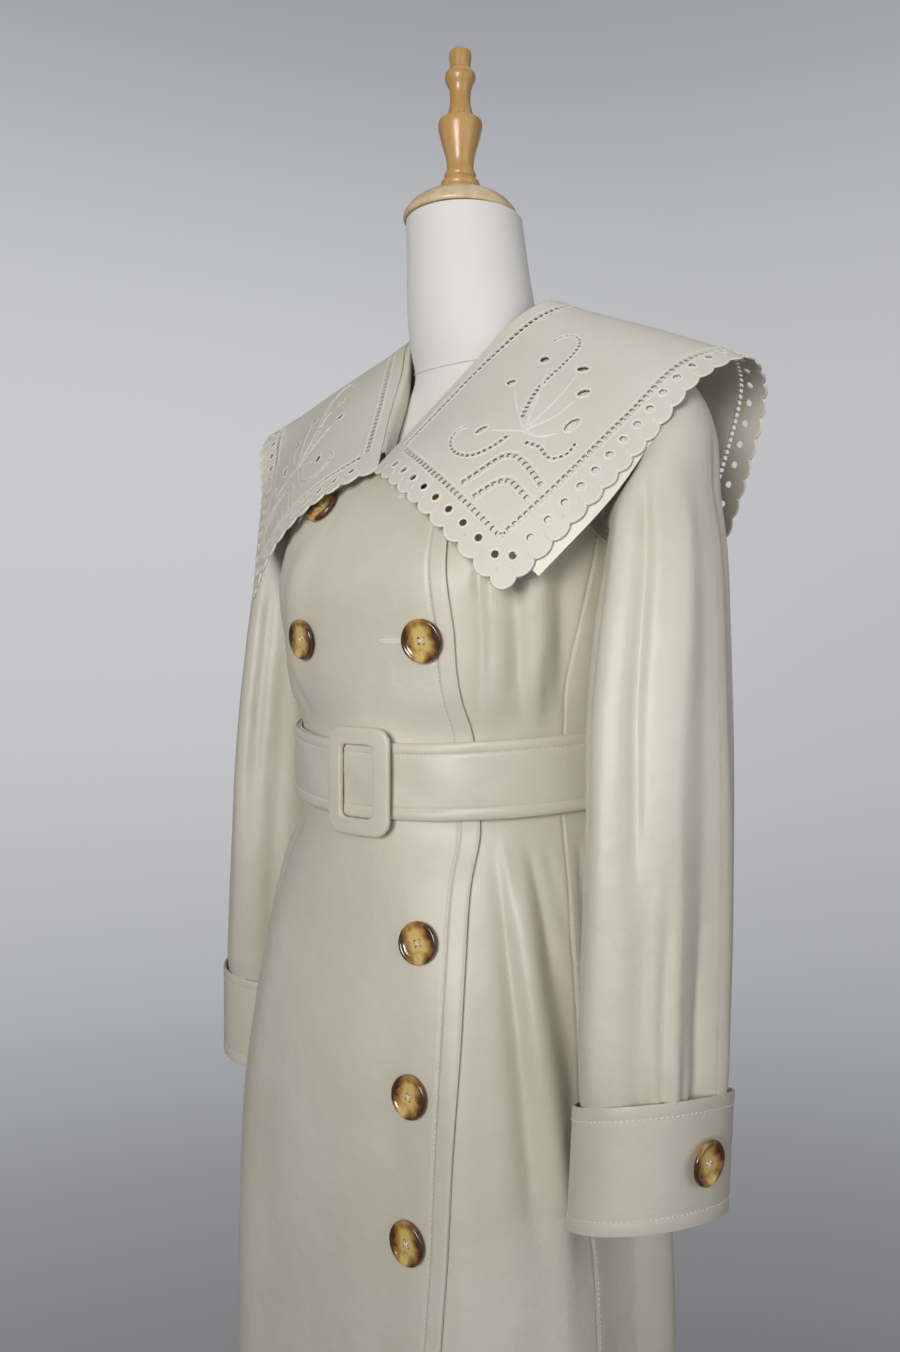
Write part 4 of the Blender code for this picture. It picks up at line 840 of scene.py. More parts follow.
@dataclass
class CoatBody:
    """Fronts, side panels and backs, with the topstitching of their seams."""

    surface: BodySurface
    stitches: StitchRun
    hem: float = 0.300
    bust: float = 1.190
    neck_front: float = 1.262
    lap_lift: float = CLOTH + 0.0017
    back_seam: float = 113.0
    underlap: float = 0.92
    # How far before the under front's edge the lap starts to stand off, and over what.
    lap_before: float = 12.0
    lap_ramp: float = 8.0
    stitch_in: float = 0.0125
    seam_depth: float = 0.0006
    seam_width: float = 0.55
    turned_edge: float = 0.0007
    turned_ramp: float = 1.2
    stitch_groove: float = 0.0008
    turned_under: float = 0.0013
    neckline: Rows = ((0.0, 1.262), (5.9, 1.296), (11.8, 1.328), (19.6, 1.349), (37.6, 1.371),
                      (67.0, 1.382), (90.0, 1.386), (120.0, 1.396), (150.0, 1.402),
                      (180.0, 1.404))
    lap: Rows = ((0.300, 0.1060), (0.650, 0.1075), (0.720, 0.1115), (0.790, 0.1120),
                 (0.845, 0.1105), (0.907, 0.1060), (1.000, 0.0977), (1.060, 0.0938),
                 (1.110, 0.0920), (1.150, 0.0928), (1.210, 0.0875), (1.262, 0.0800))
    front_seams: Rows = ((0.300, 79.0), (0.700, 79.0), (0.900, 73.0), (1.030, 69.0),
                         (1.134, 72.5), (1.190, 76.0), (1.250, 77.0))
    row_step: float = 0.0072
    neck_rows: int = 32
    underarm_rows: int = 5
    # Topstitching: how far its ends stay from the edges, its height along the hem, its
    # tops at the side seams and the centre back, and how far it lies beside both, in degrees.
    sewn_from: float = 0.004
    hem_stitch: float = 0.325
    side_top: float = 1.205
    back_top: float = 1.395
    beside_front: float = 1.1
    beside_back: float = 0.9

    def neck_z(self, angle: np.ndarray) -> np.ndarray:
        """Return the height of the neckline."""
        return smooth_curve(column(self.neckline, 0), column(self.neckline, 1), np.abs(angle))

    def seam_at(self, z: np.ndarray) -> np.ndarray:
        """Return the angle of the seam between a front and its side panel."""
        return np.interp(z, column(self.front_seams, 0), column(self.front_seams, 1))

    def lap_angle(self, z: np.ndarray, share: float = 1.0, inset: float = 0.0) -> np.ndarray:
        """Return the angle of the front edge, or of a line inset from it."""
        beyond = smooth_curve(column(self.lap, 0), column(self.lap, 1), z) - inset
        return self.surface.angle_at_x(beyond * share, z)

    def outer_angle(self, z: np.ndarray, seam: np.ndarray, side: float) -> np.ndarray:
        """Return the angle of an outer edge: seam, armhole, then shoulder."""
        middle, half, centre, half_z = ARMHOLE
        z = np.asarray(z, float)
        share = np.clip((z - centre) / half_z, -1.0, 1.0)
        hole = middle + side * half * np.sqrt(1.0 - share ** 2)
        past = (middle - hole) * side > (middle - seam) * side
        edge = np.where(np.logical_and(z < centre, past), seam, hole)
        edge = np.where(z > centre + half_z, middle, edge)
        return np.where(z < centre - half_z, seam, edge)

    def heights(self, top: np.ndarray, rows: int) -> np.ndarray:
        """Return the heights of a panel's rows: even up to the bust, then up to its top."""
        levels = np.linspace(self.hem, self.bust,
                             int((self.bust - self.hem) / self.row_step) + 1)
        rise = np.linspace(0.0, 1.0, rows + 1)[1:]
        return np.concatenate([np.broadcast_to(levels[:, None], (len(levels), len(top))),
                               self.bust + (top - self.bust)[None] * rise[:, None]])

    def panel(self, name: str, shares: np.ndarray, start_at: Callable, end_at: Callable,
              neck_at: Callable, lift_at: Callable,
              under_at: Optional[Callable] = None) -> None:
        """Make one panel from the hem to the neckline.

        Args:
            name: the node's name.
            shares: the places of its columns from 0 to 1.
            start_at: the angle of its first edge at a height.
            end_at: the angle of its last edge at a height.
            neck_at: the height of its top at an angle.
            lift_at: how far its inner face stands off.
            under_at: how far a turned edge makes it thicker inwards.
        """
        top = np.full(len(shares), self.neck_front)
        for _ in range(60):
            angle = start_at(top) + shares * (end_at(top) - start_at(top))
            top = 0.5 * top + 0.5 * neck_at(angle)
        z = self.heights(top, self.neck_rows)
        angle = start_at(z) + shares[None] * (end_at(z) - start_at(z))
        lift = lift_at(angle, z)
        outer = self.surface.point(angle, z, lift + CLOTH - self.pressed(shares, angle))
        inner = self.surface.point(angle, z, lift - under_at(angle, z) if under_at else lift)
        cloth_wall("cloth_" + name, name, outer, inner)

    def pressed(self, shares: np.ndarray, angle: np.ndarray) -> np.ndarray:
        """Return how far a panel's side edges are pressed in along their seams."""
        wide = np.abs(angle[:, -1:] - angle[:, :1])
        away = np.minimum(shares, 1.0 - shares)[None] * wide
        return self.seam_depth * bell(away, self.seam_width)

    def columns(self, count: int) -> np.ndarray:
        """Return the shares of a panel's columns, closer together along its side edges."""
        fine = np.array([0.0, 0.0015, 0.003, 0.006, 0.010, 0.015])
        return np.concatenate([fine, np.linspace(0.02, 0.98, count), (1.0 - fine)[::-1]])

    def lapped_columns(self) -> np.ndarray:
        """Return the columns of the front that laps over, closest by its stitched edge."""
        return np.concatenate([self.columns(92)[:-12], np.linspace(0.925, 0.997, 40),
                               [0.9985, 1.0]])

    def over_lift(self, angle: np.ndarray, z: np.ndarray) -> np.ndarray:
        """Return how far the front that laps over stands off, with its turned edge."""
        hidden = -self.lap_angle(z, self.underlap)
        lift = self.lap_lift * smooth_step((angle - hidden + self.lap_before) / self.lap_ramp)
        to_stitch = angle - self.lap_angle(z, 1.0, self.stitch_in)
        turned = smooth_step(to_stitch / self.turned_ramp)
        groove = bell(to_stitch, 0.5 * self.turned_ramp)
        return lift + self.turned_edge * turned - self.stitch_groove * groove

    def turned_in(self, angle: np.ndarray, z: np.ndarray) -> np.ndarray:
        """Return how much thicker the turned front edge is, towards the wearer."""
        to_stitch = angle - self.lap_angle(z, 1.0, self.stitch_in)
        return self.turned_under * smooth_step(to_stitch / self.turned_ramp)

    def fronts(self) -> None:
        """Make the two fronts; the right one laps over the left one."""
        def side_edge(z: np.ndarray) -> np.ndarray:
            return self.outer_angle(z, self.seam_at(z), -1.0)

        def level(side: float) -> Callable:
            return lambda angle: np.where(angle * side > 0.0, self.neck_front,
                                          self.neck_z(angle))

        self.panel("right_front", self.lapped_columns(), lambda z: -side_edge(z),
                   self.lap_angle, level(1.0), self.over_lift, self.turned_in)
        self.panel("left_front", self.columns(108),
                   lambda z: -self.lap_angle(z, self.underlap), side_edge, level(-1.0),
                   lambda angle, z: np.zeros(angle.shape))

    def sides(self) -> None:
        """Make the two side panels, which end at the foot of the armholes."""
        middle, half, centre, half_z = ARMHOLE
        shares = self.columns(40)

        def across(z: np.ndarray) -> np.ndarray:
            start = self.seam_at(z)
            return start + shares * (self.back_seam - start)

        away = (across(np.array(centre)) - middle) / half
        z = self.heights(centre - half_z * np.sqrt(1.0 - away ** 2), self.underarm_rows)
        angle = across(z)
        for arm in Arm:
            pressed = self.pressed(shares, angle)
            outer = self.surface.point(arm.value * angle, z, CLOTH - pressed)
            inner = self.surface.point(arm.value * angle, z, 0.0)
            cloth_wall(f"cloth_{arm.word}_side", f"{arm.word}_side", outer, inner)

    def backs(self) -> None:
        """Make the two backs, which meet at the centre back seam."""
        seam = np.array(self.back_seam)
        for arm in Arm:
            sign = arm.value
            self.panel(f"{arm.word}_back", self.columns(68),
                       lambda z, s=sign: s * self.outer_angle(z, seam, 1.0),
                       lambda z, s=sign: s * np.full(np.shape(z), 180.0),
                       self.neck_z, lambda angle, z: np.zeros(angle.shape))

    def seams(self) -> None:
        """Sew the topstitching of the front edge, the side seams and the hem."""
        start = self.hem + self.sewn_from
        z = np.linspace(start, self.neck_front - self.sewn_from, 420)
        edge = self.lap_angle(z, 1.0, self.stitch_in)
        self.sew(edge, z, self.lap_lift - 0.0006 + CLOTH)
        low = np.linspace(start, self.side_top, 380)
        for sign in (1.0, -1.0):
            self.sew(sign * (self.seam_at(low) + self.beside_front), low, CLOTH)
            self.sew(sign * (np.full(low.shape, self.back_seam) + self.beside_back), low, CLOTH)
        back = np.linspace(start, self.back_top, 420)
        self.sew(np.full(back.shape, 180.0 - self.beside_back), back, CLOTH)
        around = np.linspace(-180.0, 180.0, 700)
        level = np.full(around.shape, self.hem_stitch)
        lapped = np.logical_and(around < self.lap_angle(level) - 0.5, around > -20.0)
        self.sew(around, level, np.where(lapped, self.lap_lift, 0.0) + CLOTH)

    def sew(self, angle: np.ndarray, z: np.ndarray, lift: np.ndarray) -> None:
        """Sew along a line on the body."""
        self.stitches.sew(self.surface.point(angle, z, lift), self.surface.outwards(angle, z))

    def build(self) -> None:
        """Make every panel of the body and its stitches."""
        self.fronts()
        self.sides()
        self.backs()
        self.seams()


@dataclass
class Sleeves:
    """The two set-in sleeves, pleated into their cuffs."""

    surface: BodySurface
    stitches: StitchRun
    # Height, out, aft, half widths outwards and aft, tips of the outer and front sides.
    sections: Rows = (
        (1.264, 0.1820, 0.0180, 0.0620, 0.0540, 68.0, -20.0),
        (1.250, 0.1950, 0.0030, 0.0490, 0.0540, 46.0, -12.0),
        (1.226, 0.2045, -0.0085, 0.0375, 0.0530, 26.0, -4.0),
        (1.190, 0.2095, -0.0165, 0.0400, 0.0555, 12.0, 0.0),
        (1.140, 0.2120, -0.0260, 0.0440, 0.0595, 6.0, 0.0),
        (1.080, 0.2141, -0.0330, 0.0460, 0.0635, 5.0, 2.0),
        (1.010, 0.2184, -0.0400, 0.0460, 0.0640, 6.0, 4.0),
        (0.940, 0.2200, -0.0460, 0.0470, 0.0650, 9.0, 7.0),
        (0.880, 0.2205, -0.0505, 0.0475, 0.0655, 13.0, 9.0),
        (0.842, 0.2218, -0.0540, 0.0483, 0.0635, 17.0, 12.0),
        (0.822, 0.2219, -0.0550, 0.0470, 0.0598, 18.0, 12.5),
    )
    right_moves: Rows = (
        (0.0000, 0.0000, 0.000), (0.0000, 0.0040, 0.000), (0.0020, 0.0100, 0.000),
        (0.0050, 0.0200, 0.002), (0.0060, 0.0280, 0.004), (0.0070, 0.0330, 0.007),
        (0.0070, 0.0370, 0.010), (0.0070, 0.0410, 0.014), (0.0080, 0.0440, 0.017),
        (0.0090, 0.0460, 0.020), (0.0090, 0.0460, 0.020),
    )
    right_lean: float = 0.40
    # How far the head reaches over the armhole's edge: in degrees and in height.
    head_over: Row = (0.5, 0.0012)
    # Angle round the ring, width in degrees, depth, where along the sleeve it is deepest.
    folds: Rows = (
        (300.0, 10.0, -0.0050, 1.00), (322.0, 9.0, 0.0040, 0.85), (345.0, 9.0, -0.0055, 1.00),
        (8.0, 10.0, 0.0045, 0.90), (35.0, 10.0, -0.0050, 0.95), (62.0, 11.0, 0.0040, 0.80),
        (95.0, 11.0, -0.0050, 1.00), (130.0, 12.0, 0.0035, 0.80), (165.0, 12.0, -0.0035, 0.90),
        (225.0, 12.0, -0.0035, 0.80), (262.0, 12.0, 0.0040, 0.70),
    )
    # Angle, width, depth, and the shares of the length where a crease starts and ends.
    creases: Rows = (
        (317.0, 4.0, -0.0042, 0.60, 1.10), (345.0, 3.2, -0.0026, 0.66, 1.10),
        (331.0, 3.4, -0.0026, 0.78, 1.10), (35.0, 3.4, -0.0020, 0.74, 1.08),
        (95.0, 3.4, -0.0016, 0.70, 1.08), (15.0, 3.4, -0.0010, 0.80, 1.05),
        (165.0, 3.6, -0.0014, 0.76, 1.08), (225.0, 3.6, -0.0014, 0.76, 1.08),
        (292.0, 6.5, -0.0050, 0.10, 0.72), (268.0, 15.0, 0.0030, 0.08, 0.74),
        (250.0, 7.0, -0.0020, 0.24, 0.70), (16.0, 5.5, -0.0034, 0.06, 0.62),
        (330.0, 9.0, 0.0022, 0.15, 0.60), (60.0, 7.0, 0.0016, 0.20, 0.66),
        (100.0, 7.0, -0.0016, 0.22, 0.70), (200.0, 8.0, -0.0020, 0.12, 0.55),
    )
    # How far along the sleeve a fold reaches, where it starts, and how a crease fades.
    fold_reach: float = 0.45
    fold_start: float = 0.3
    crease_fade: float = 0.16
    around: int = 180
    rows_between: int = 13

    def frame_at(self, index: int, arm: Arm) -> Tuple[np.ndarray, np.ndarray, np.ndarray]:
        """Return the middle of a ring and its outward and backward directions."""
        z, out, aft, _, _, lean_out, lean_front = self.sections[index]
        share = 1.0
        if arm is Arm.RIGHT:
            more_out, more_aft, down = self.right_moves[index]
            out, aft, z = out + more_out, aft + more_aft, z - down
            share = 1.0 - (1.0 - self.right_lean) * float(smooth_step((1.20 - z) / 0.30))
        up = math.radians(lean_out * share)
        fore = math.radians(lean_front * share)
        outwards = np.array([arm.value * math.cos(up), 0.0, math.sin(up)])
        backwards = np.array([0.0, math.cos(fore), -math.sin(fore)])
        return np.array([arm.value * out, aft, z]), outwards, backwards

    def rings(self, arm: Arm, turn: np.ndarray) -> np.ndarray:
        """Return the smooth rings of a sleeve from the armhole down to the cuff."""
        middle, half, centre, half_z = ARMHOLE
        angle = middle + (half + self.head_over[0]) * np.sin(turn)
        z = centre + (half_z + self.head_over[1]) * np.cos(turn)
        rings = [self.surface.point(arm.value * angle, z, CLOTH + SEAM)]
        for i, row in enumerate(self.sections):
            point, outwards, backwards = self.frame_at(i, arm)
            rings.append(point + outwards * (row[3] * np.cos(turn))[:, None]
                         + backwards * (row[4] * np.sin(turn))[:, None])
        knots = np.arange(len(rings), dtype=float)
        fine = np.linspace(0.0, len(rings) - 1.0, (len(rings) - 1) * self.rows_between + 1)
        return smooth_curve(knots, np.array(rings), fine)

    def depth(self, degrees: np.ndarray, share: np.ndarray) -> np.ndarray:
        """Return how deep the folds are at an angle and a share of the length."""
        total = np.zeros(np.broadcast(degrees, share).shape)
        for angle, width, depth, deepest in self.folds:
            reach = bell(share - deepest, self.fold_reach)
            strength = reach * np.minimum(1.0, share / self.fold_start)
            total = total + depth * strength * bell(turn_between(degrees, angle), width)
        total = np.where(share > 0.97, np.minimum(total, 0.0), total)
        for angle, width, depth, start, end in self.creases:
            along = (smooth_step((share - start) / self.crease_fade)
                     * smooth_step((end - share) / self.crease_fade))
            total = total + depth * along * bell(turn_between(degrees, angle), width)
        return total

    def build(self) -> None:
        """Make both sleeves."""
        turn = np.linspace(0.0, 2.0 * math.pi, self.around, endpoint=False)
        for arm in Arm:
            smooth = self.rings(arm, turn)
            share = np.linspace(-0.09, 1.0, len(smooth))[:, None]
            normal = ring_normals(smooth) * arm.value
            depth = self.depth(np.degrees(turn)[None], np.clip(share, 0.0, 1.0))
            depth = depth * smooth_step(share / 0.06)
            outer = smooth + normal * depth[..., None]
            inner = outer - arm.value * ring_normals(outer) * CLOTH
            cloth_wall(f"cloth_{arm.word}_sleeve", f"{arm.word}_sleeve", outer[::-1],
                       inner[::-1], True)


def ring_normals(rings: np.ndarray) -> np.ndarray:
    """Return unit normals at the points of a stack of closed rings."""
    around = np.roll(rings, -1, axis=1) - np.roll(rings, 1, axis=1)
    along = np.gradient(rings, axis=0)
    return unit(np.cross(along, around))


@dataclass
class Cuffs:
    """The two deep cuffs, each lapped at its outer side and buttoned."""

    sleeves: Sleeves
    stitches: StitchRun
    top_above: float = 0.0060
    height: float = 0.0810
    half_out: float = 0.0489
    half_aft: float = 0.0624
    slant: Row = (-0.0035, -0.0020)
    start: float = 66.0
    overlap: float = 26.0
    ramp: float = 60.0
    stitch_in: float = 0.0090
    end_stitch: float = 6.5
    roll: float = 0.0004
    groove: Row = (0.0003, 0.0012)

    def point(self, arm: Arm, turn: np.ndarray, drop: np.ndarray,
              lift: np.ndarray) -> np.ndarray:
        """Return points of a cuff at a turn in radians and a drop below its top edge."""
        turn, drop, lift = np.broadcast_arrays(turn, drop, lift)
        centre, outwards, backwards = self.sleeves.frame_at(-1, arm)
        share = drop / self.height
        middle = np.stack([centre[0] + arm.value * self.slant[0] * share,
                           centre[1] + self.slant[1] * share,
                           centre[2] + self.top_above - drop], axis=-1)
        return (middle + outwards * ((self.half_out + lift) * np.cos(turn))[..., None]
                + backwards * ((self.half_aft + lift) * np.sin(turn))[..., None])

    def lap_lift(self, degrees: np.ndarray) -> np.ndarray:
        """Return how far the cuff's end stands out over its start."""
        ramp = (degrees - (360.0 - self.ramp)) / self.ramp
        return (CLOTH + 2.0 * SEAM) * smooth_step(ramp)

    def relief(self, drop: np.ndarray) -> np.ndarray:
        """Return the soft roll of the cuff's edges outside the topstitching."""
        near = np.minimum(drop, self.height - drop)
        roll = np.sin(np.clip(near / self.stitch_in, 0.0, 1.0) * math.pi) * self.roll
        return roll - self.groove[0] * bell(near - self.stitch_in, self.groove[1])

    def outwards(self, arm: Arm, turn: np.ndarray, drop: np.ndarray) -> np.ndarray:
        """Return the unit normals of the cuff's face."""
        normal = normals_of(lambda t, d: self.point(arm, t, d, np.zeros(np.shape(t))),
                            turn, drop, 0.02, 0.002)
        centre = self.sleeves.frame_at(-1, arm)[0]
        away = self.point(arm, turn, drop, np.zeros(np.shape(turn))) - centre
        sign = np.sign(np.sum(normal[..., :2] * away[..., :2], axis=-1))
        return normal * sign[..., None]

    def build(self) -> None:
        """Make both cuffs and sew their edges."""
        span = np.linspace(0.0, 360.0 + self.overlap, 210)
        drops = np.linspace(0.0, self.height, 44)[::-1]
        turn = np.radians(self.start - self.overlap + span)
        for arm in Arm:
            lift = self.lap_lift(span)[None] + self.relief(drops)[:, None]
            outer = self.point(arm, turn[None], drops[:, None], lift + CLOTH)
            inner = self.point(arm, turn[None], drops[:, None], self.lap_lift(span)[None])
            cloth_wall(f"cloth_{arm.word}_cuff", f"{arm.word}_cuff", outer, inner)
            low = self.height - self.stitch_in
            for drop in (self.stitch_in, low):
                self.sew(arm, turn, np.full(span.shape, drop), self.lap_lift(span) + CLOTH)
            drop = np.linspace(self.stitch_in, low, 60)
            end = np.full(60, math.radians(self.start + 360.0 - self.end_stitch))
            self.sew(arm, end, drop, np.full(60, CLOTH + CLOTH + 2.0 * SEAM))

    def sew(self, arm: Arm, turn: np.ndarray, drop: np.ndarray, lift: np.ndarray) -> None:
        """Sew along a line on a cuff."""
        self.stitches.sew(self.point(arm, turn, drop, lift), self.outwards(arm, turn, drop))


# ------------------------------------------------------------------ collar
@dataclass
class CollarSurface:
    """The collar's cloth: by scallops counted along its edge, and share of its width."""

    pitch: float = 0.016
    width: float = 0.165
    centre_back: float = 40.0
    # Count, neck edge, half way out, outer edge, and moves of the far wing's edge.
    stations: Tuple = (
        (0.0, (0.000, -0.098, 1.2706), (0.074, -0.1225, 1.2325), (0.140, -0.113, 1.171),
         0.000, 0.000),
        (5.0, (0.026, -0.060, 1.321), (0.108, -0.084, 1.279), (0.184, -0.074, 1.2315),
         0.000, 0.000),
        (9.0, (0.046, -0.027, 1.364), (0.132, -0.033, 1.334), (0.203, -0.031, 1.278),
         0.012, 0.015),
        (13.0, (0.066, -0.001, 1.397), (0.152, 0.016, 1.371), (0.222, 0.0095, 1.326),
         0.009, 0.040),
        (16.0, (0.077, 0.020, 1.411), (0.161, 0.052, 1.379), (0.235, 0.052, 1.345),
         0.004, 0.052),
        (19.0, (0.077, 0.044, 1.416), (0.152, 0.086, 1.374), (0.225, 0.100, 1.3335),
         0.000, 0.050),
        (23.4, (0.065, 0.068, 1.420), (0.134, 0.112, 1.354), (0.197, 0.129, 1.274),
         0.000, 0.026),
        (27.7, (0.046, 0.082, 1.423), (0.110, 0.126, 1.325), (0.170, 0.134, 1.208),
         0.000, 0.010),
        (30.6, (0.031, 0.087, 1.424), (0.086, 0.132, 1.306), (0.150, 0.136, 1.165),
         0.000, 0.004),
        (35.0, (0.013, 0.090, 1.425), (0.044, 0.136, 1.300), (0.078, 0.143, 1.156),
         0.000, 0.000),
        (40.0, (0.000, 0.091, 1.425), (0.000, 0.137, 1.298), (0.000, 0.146, 1.152),
         0.000, 0.000),
    )

    def __post_init__(self) -> None:
        """Mirror the stations, so that the tables run from tip to tip."""
        mirror = np.array([-1.0, 1.0, 1.0])
        rows = [(row[0], *[np.array(p) for p in row[1:4]]) for row in self.stations]
        for count, neck, middle, edge, out, forward in reversed(self.stations[:-1]):
            shift = np.array([-out, -forward, 0.0])
            rows.append((2.0 * self.centre_back - count, np.array(neck) * mirror,
                         np.array(middle) * mirror + 0.5 * shift,
                         np.array(edge) * mirror + shift))
        self.counts = np.array([row[0] for row in rows])
        self.curves = np.array([[row[k] for row in rows] for k in (1, 2, 3)])

    def base(self, count: np.ndarray, share: np.ndarray) -> np.ndarray:
        """Return points on the collar's under face."""
        count, share = np.broadcast_arrays(np.asarray(count, float), np.asarray(share, float))
        neck, middle, edge = (smooth_curve(self.counts, curve, count) for curve in self.curves)
        s = share[..., None]
        return (neck * (1.0 - s) * (1.0 - 2.0 * s) + middle * 4.0 * s * (1.0 - s)
                + edge * s * (2.0 * s - 1.0))

    def outwards(self, count: np.ndarray, share: np.ndarray) -> np.ndarray:
        """Return the collar's unit normals, away from the wearer."""
        return -normals_of(self.base, np.asarray(count, float), np.asarray(share, float),
                           0.25, 0.02)

    def point(self, count: np.ndarray, share: np.ndarray, lift: np.ndarray) -> np.ndarray:
        """Return points of the collar moved outwards by lift."""
        lift = np.broadcast_to(lift, np.broadcast(count, share).shape)
        ripple = 0.0005 * np.sin(np.asarray(count) * 0.55) * np.sin(np.asarray(share) * 5.0)
        return self.base(count, share) + self.outwards(count, share) * (lift + ripple)[..., None]

    def local(self, count: np.ndarray, share: np.ndarray) -> Tuple[np.ndarray, ...]:
        """Return how the cloth runs for one count and one share, and its two axes."""
        by_count = (self.base(count + 0.1, share) - self.base(count - 0.1, share)) / 0.2
        by_share = (self.base(count, share + 0.01) - self.base(count, share - 0.01)) / 0.02
        first = unit(by_count)
        second = unit(by_share - first * np.sum(by_share * first, axis=-1, keepdims=True))
        return by_count, by_share, first, second

    def step(self, count: np.ndarray, share: np.ndarray, along: np.ndarray,
             across: np.ndarray) -> Tuple[np.ndarray, np.ndarray]:
        """Turn moves along and across the cloth, in metres, into counts and shares."""
        count, share = np.asarray(count, float), np.asarray(share, float)
        by_count, by_share, first, second = self.local(count, share)
        down = across / np.sum(by_share * second, axis=-1)
        rest = along - down * np.sum(by_share * first, axis=-1)
        return count + rest / np.sum(by_count * first, axis=-1), share + down


@dataclass
class Ladder:
    """A row of small square gaps between two raised cords, along a path on the cloth."""

    path: Rows
    pitch: float = 0.0053
    gap_along: float = 0.0036
    gap_across: float = 0.0040
    apart: float = 0.0033
    tail: float = 0.0


@dataclass
class TopCollar:
    """The cape collar's embroidered top: scallops, eyelets, ladders and sprays."""

    surface: CollarSurface
    front_scallops: int = 10
    tip_notch: float = 0.0104
    first_count: float = 0.67
    bulge: float = 0.0050
    roundness: float = 0.62
    scallop_steps: int = 10
    tip_over: float = 0.0005
    tip_steps: int = 20
    eyelet_radius: float = 0.0030
    eyelet_inset: float = 0.0110
    ring_half_wide: float = 0.0011
    ring_half_high: float = 0.00050
    cord_half_wide: float = 0.00080
    cord_half_high: float = 0.00045
    # The edge's cord: how far in it lies, half its width and half its height.
    edge_cord: Row = (0.0008, 0.0014, 0.00100)
    # Bars between scallops: where they start and end, both half widths, half their height.
    bars: Row = (0.0012, 0.0062, 0.0010, 0.0004, 0.0005)
    # Stems: half their width at both ends, half their height.
    stem_cord: Row = (0.0016, 0.0009, 0.00060)
    grid_count: float = 0.28
    grid_share: float = 0.026
    cut: Row = (0.62, 0.50)
    sunk: float = 0.0001
    # Eyelets of the spray: count, share, half length, half width, turn in degrees.
    spray: Rows = (
        (5.1, 0.40, 0.0052, 0.0030, 20.0), (7.6, 0.32, 0.0040, 0.0033, 70.0),
        (9.3, 0.36, 0.0046, 0.0036, 110.0), (9.6, 0.56, 0.0046, 0.0034, 60.0),
        (8.6, 0.66, 0.0050, 0.0034, 30.0), (7.2, 0.73, 0.0075, 0.0038, 8.0),
    )
    # Thin stems from the spray's foot to its eyelets.
    stems: Tuple = (
        ((6.0, 0.575), (6.6, 0.47), (7.3, 0.37)),
        ((6.0, 0.575), (7.5, 0.50), (8.9, 0.415)),
        ((6.0, 0.575), (7.8, 0.585), (9.2, 0.565)),
        ((6.0, 0.575), (7.1, 0.64), (8.1, 0.66)),
        ((6.0, 0.575), (6.1, 0.65), (6.6, 0.71)),
        ((6.0, 0.575), (5.6, 0.50), (5.3, 0.445)),
    )

    # Paths of the borders' ladders, in counts and shares.
    borders: Tuple = (
        ((1.75, 0.10), (1.62, 0.50), (1.42, 0.855)),
        ((1.42, 0.858), (4.4, 0.866), (7.4, 0.876), (9.8, 0.883), (14.0, 0.885),
         (20.0, 0.885), (30.0, 0.885), (40.0, 0.885)),
        ((1.95, 0.073), (5.9, 0.066), (9.4, 0.078), (14.0, 0.080), (20.0, 0.080),
         (30.0, 0.080), (40.0, 0.080)),
        ((2.15, 0.553), (3.5, 0.573), (4.45, 0.590), (4.85, 0.625), (4.85, 0.68),
         (4.65, 0.75), (4.35, 0.828)),
        ((1.95, 0.645), (2.9, 0.660), (3.45, 0.675), (3.75, 0.705), (3.72, 0.745),
         (3.5, 0.828)),
    )
    # The scrolls' ladders: path, pitch, gap along and across, cords apart, narrowing.
    scrolls: Tuple = (
        (((6.4, 0.52), (7.7, 0.470), (9.3, 0.462), (10.6, 0.440), (11.3, 0.385),
          (11.2, 0.320), (10.6, 0.300)), 0.0046, 0.0026, 0.0036, 0.0028, 0.45),
        (((5.5, 0.535), (4.6, 0.515), (3.7, 0.470), (3.35, 0.395), (3.7, 0.320),
          (4.4, 0.295), (4.9, 0.320)), 0.0046, 0.0026, 0.0036, 0.0028, 0.45),
        (((5.6, 0.620), (5.75, 0.690), (5.55, 0.760), (6.05, 0.805), (6.7, 0.800)),
         0.0046, 0.0026, 0.0032, 0.0026, 0.35),
    )

    def ladders(self) -> List[Ladder]:
        """Return the ladders of the near half, the borders first and then the scrolls."""
        return [Ladder(path) for path in self.borders] + [Ladder(*row) for row in self.scrolls]

    def front_length(self) -> float:
        """Return the length of the collar's front edge."""
        ends = self.surface.base(np.zeros(2), np.array([0.0, 1.0]))
        return float(np.linalg.norm(ends[1] - ends[0]))

    def at_edge(self, place: float) -> float:
        """Return the count where a scallop stands, so that the first ends at the tip's lobe."""
        back = self.surface.centre_back
        return back - (back - place) * (back - self.first_count) / (back - 1.0)

    def lobe(self, share: float) -> float:
        """Return a scallop's bulge at a share of its chord."""
        if not 0.0 < share < 1.0:
            return 0.0
        return self.bulge * math.sin(math.pi * share) ** self.roundness

    def outline(self) -> List[Tuple[float, float]]:
        """Return the near half of the outline, from the centre back to the neck edge."""
        outline: List[Tuple[float, float]] = []
        for i in range(int(self.surface.centre_back), 1, -1):
            for j in range(self.scallop_steps):
                share = j / self.scallop_steps
                count, across = self.surface.step(self.at_edge(i - share), 1.0, 0.0,
                                                  self.lobe(share))
                outline.append((float(count), float(across)))
        length = self.front_length()
        half = self.tip_notch / 2.0
        radius = half * math.sqrt(2.0) + self.tip_over
        for step in range(self.tip_steps):
            turn = math.pi * (0.25 + step / self.tip_steps)
            along = half + radius * math.cos(turn)
            across = -half + radius * math.sin(turn)
            outline.append((along / self.surface.pitch, 1.0 + across / length))
        start = 1.0 - self.tip_notch / length
        for i in range(self.front_scallops):
            for j in range(self.scallop_steps):
                share = start * (1.0 - (i + j / self.scallop_steps) / self.front_scallops)
                bulge = self.lobe(j / self.scallop_steps)
                outline.append((-bulge / self.surface.pitch, share))
        outline.append((0.0, 0.0))
        return outline

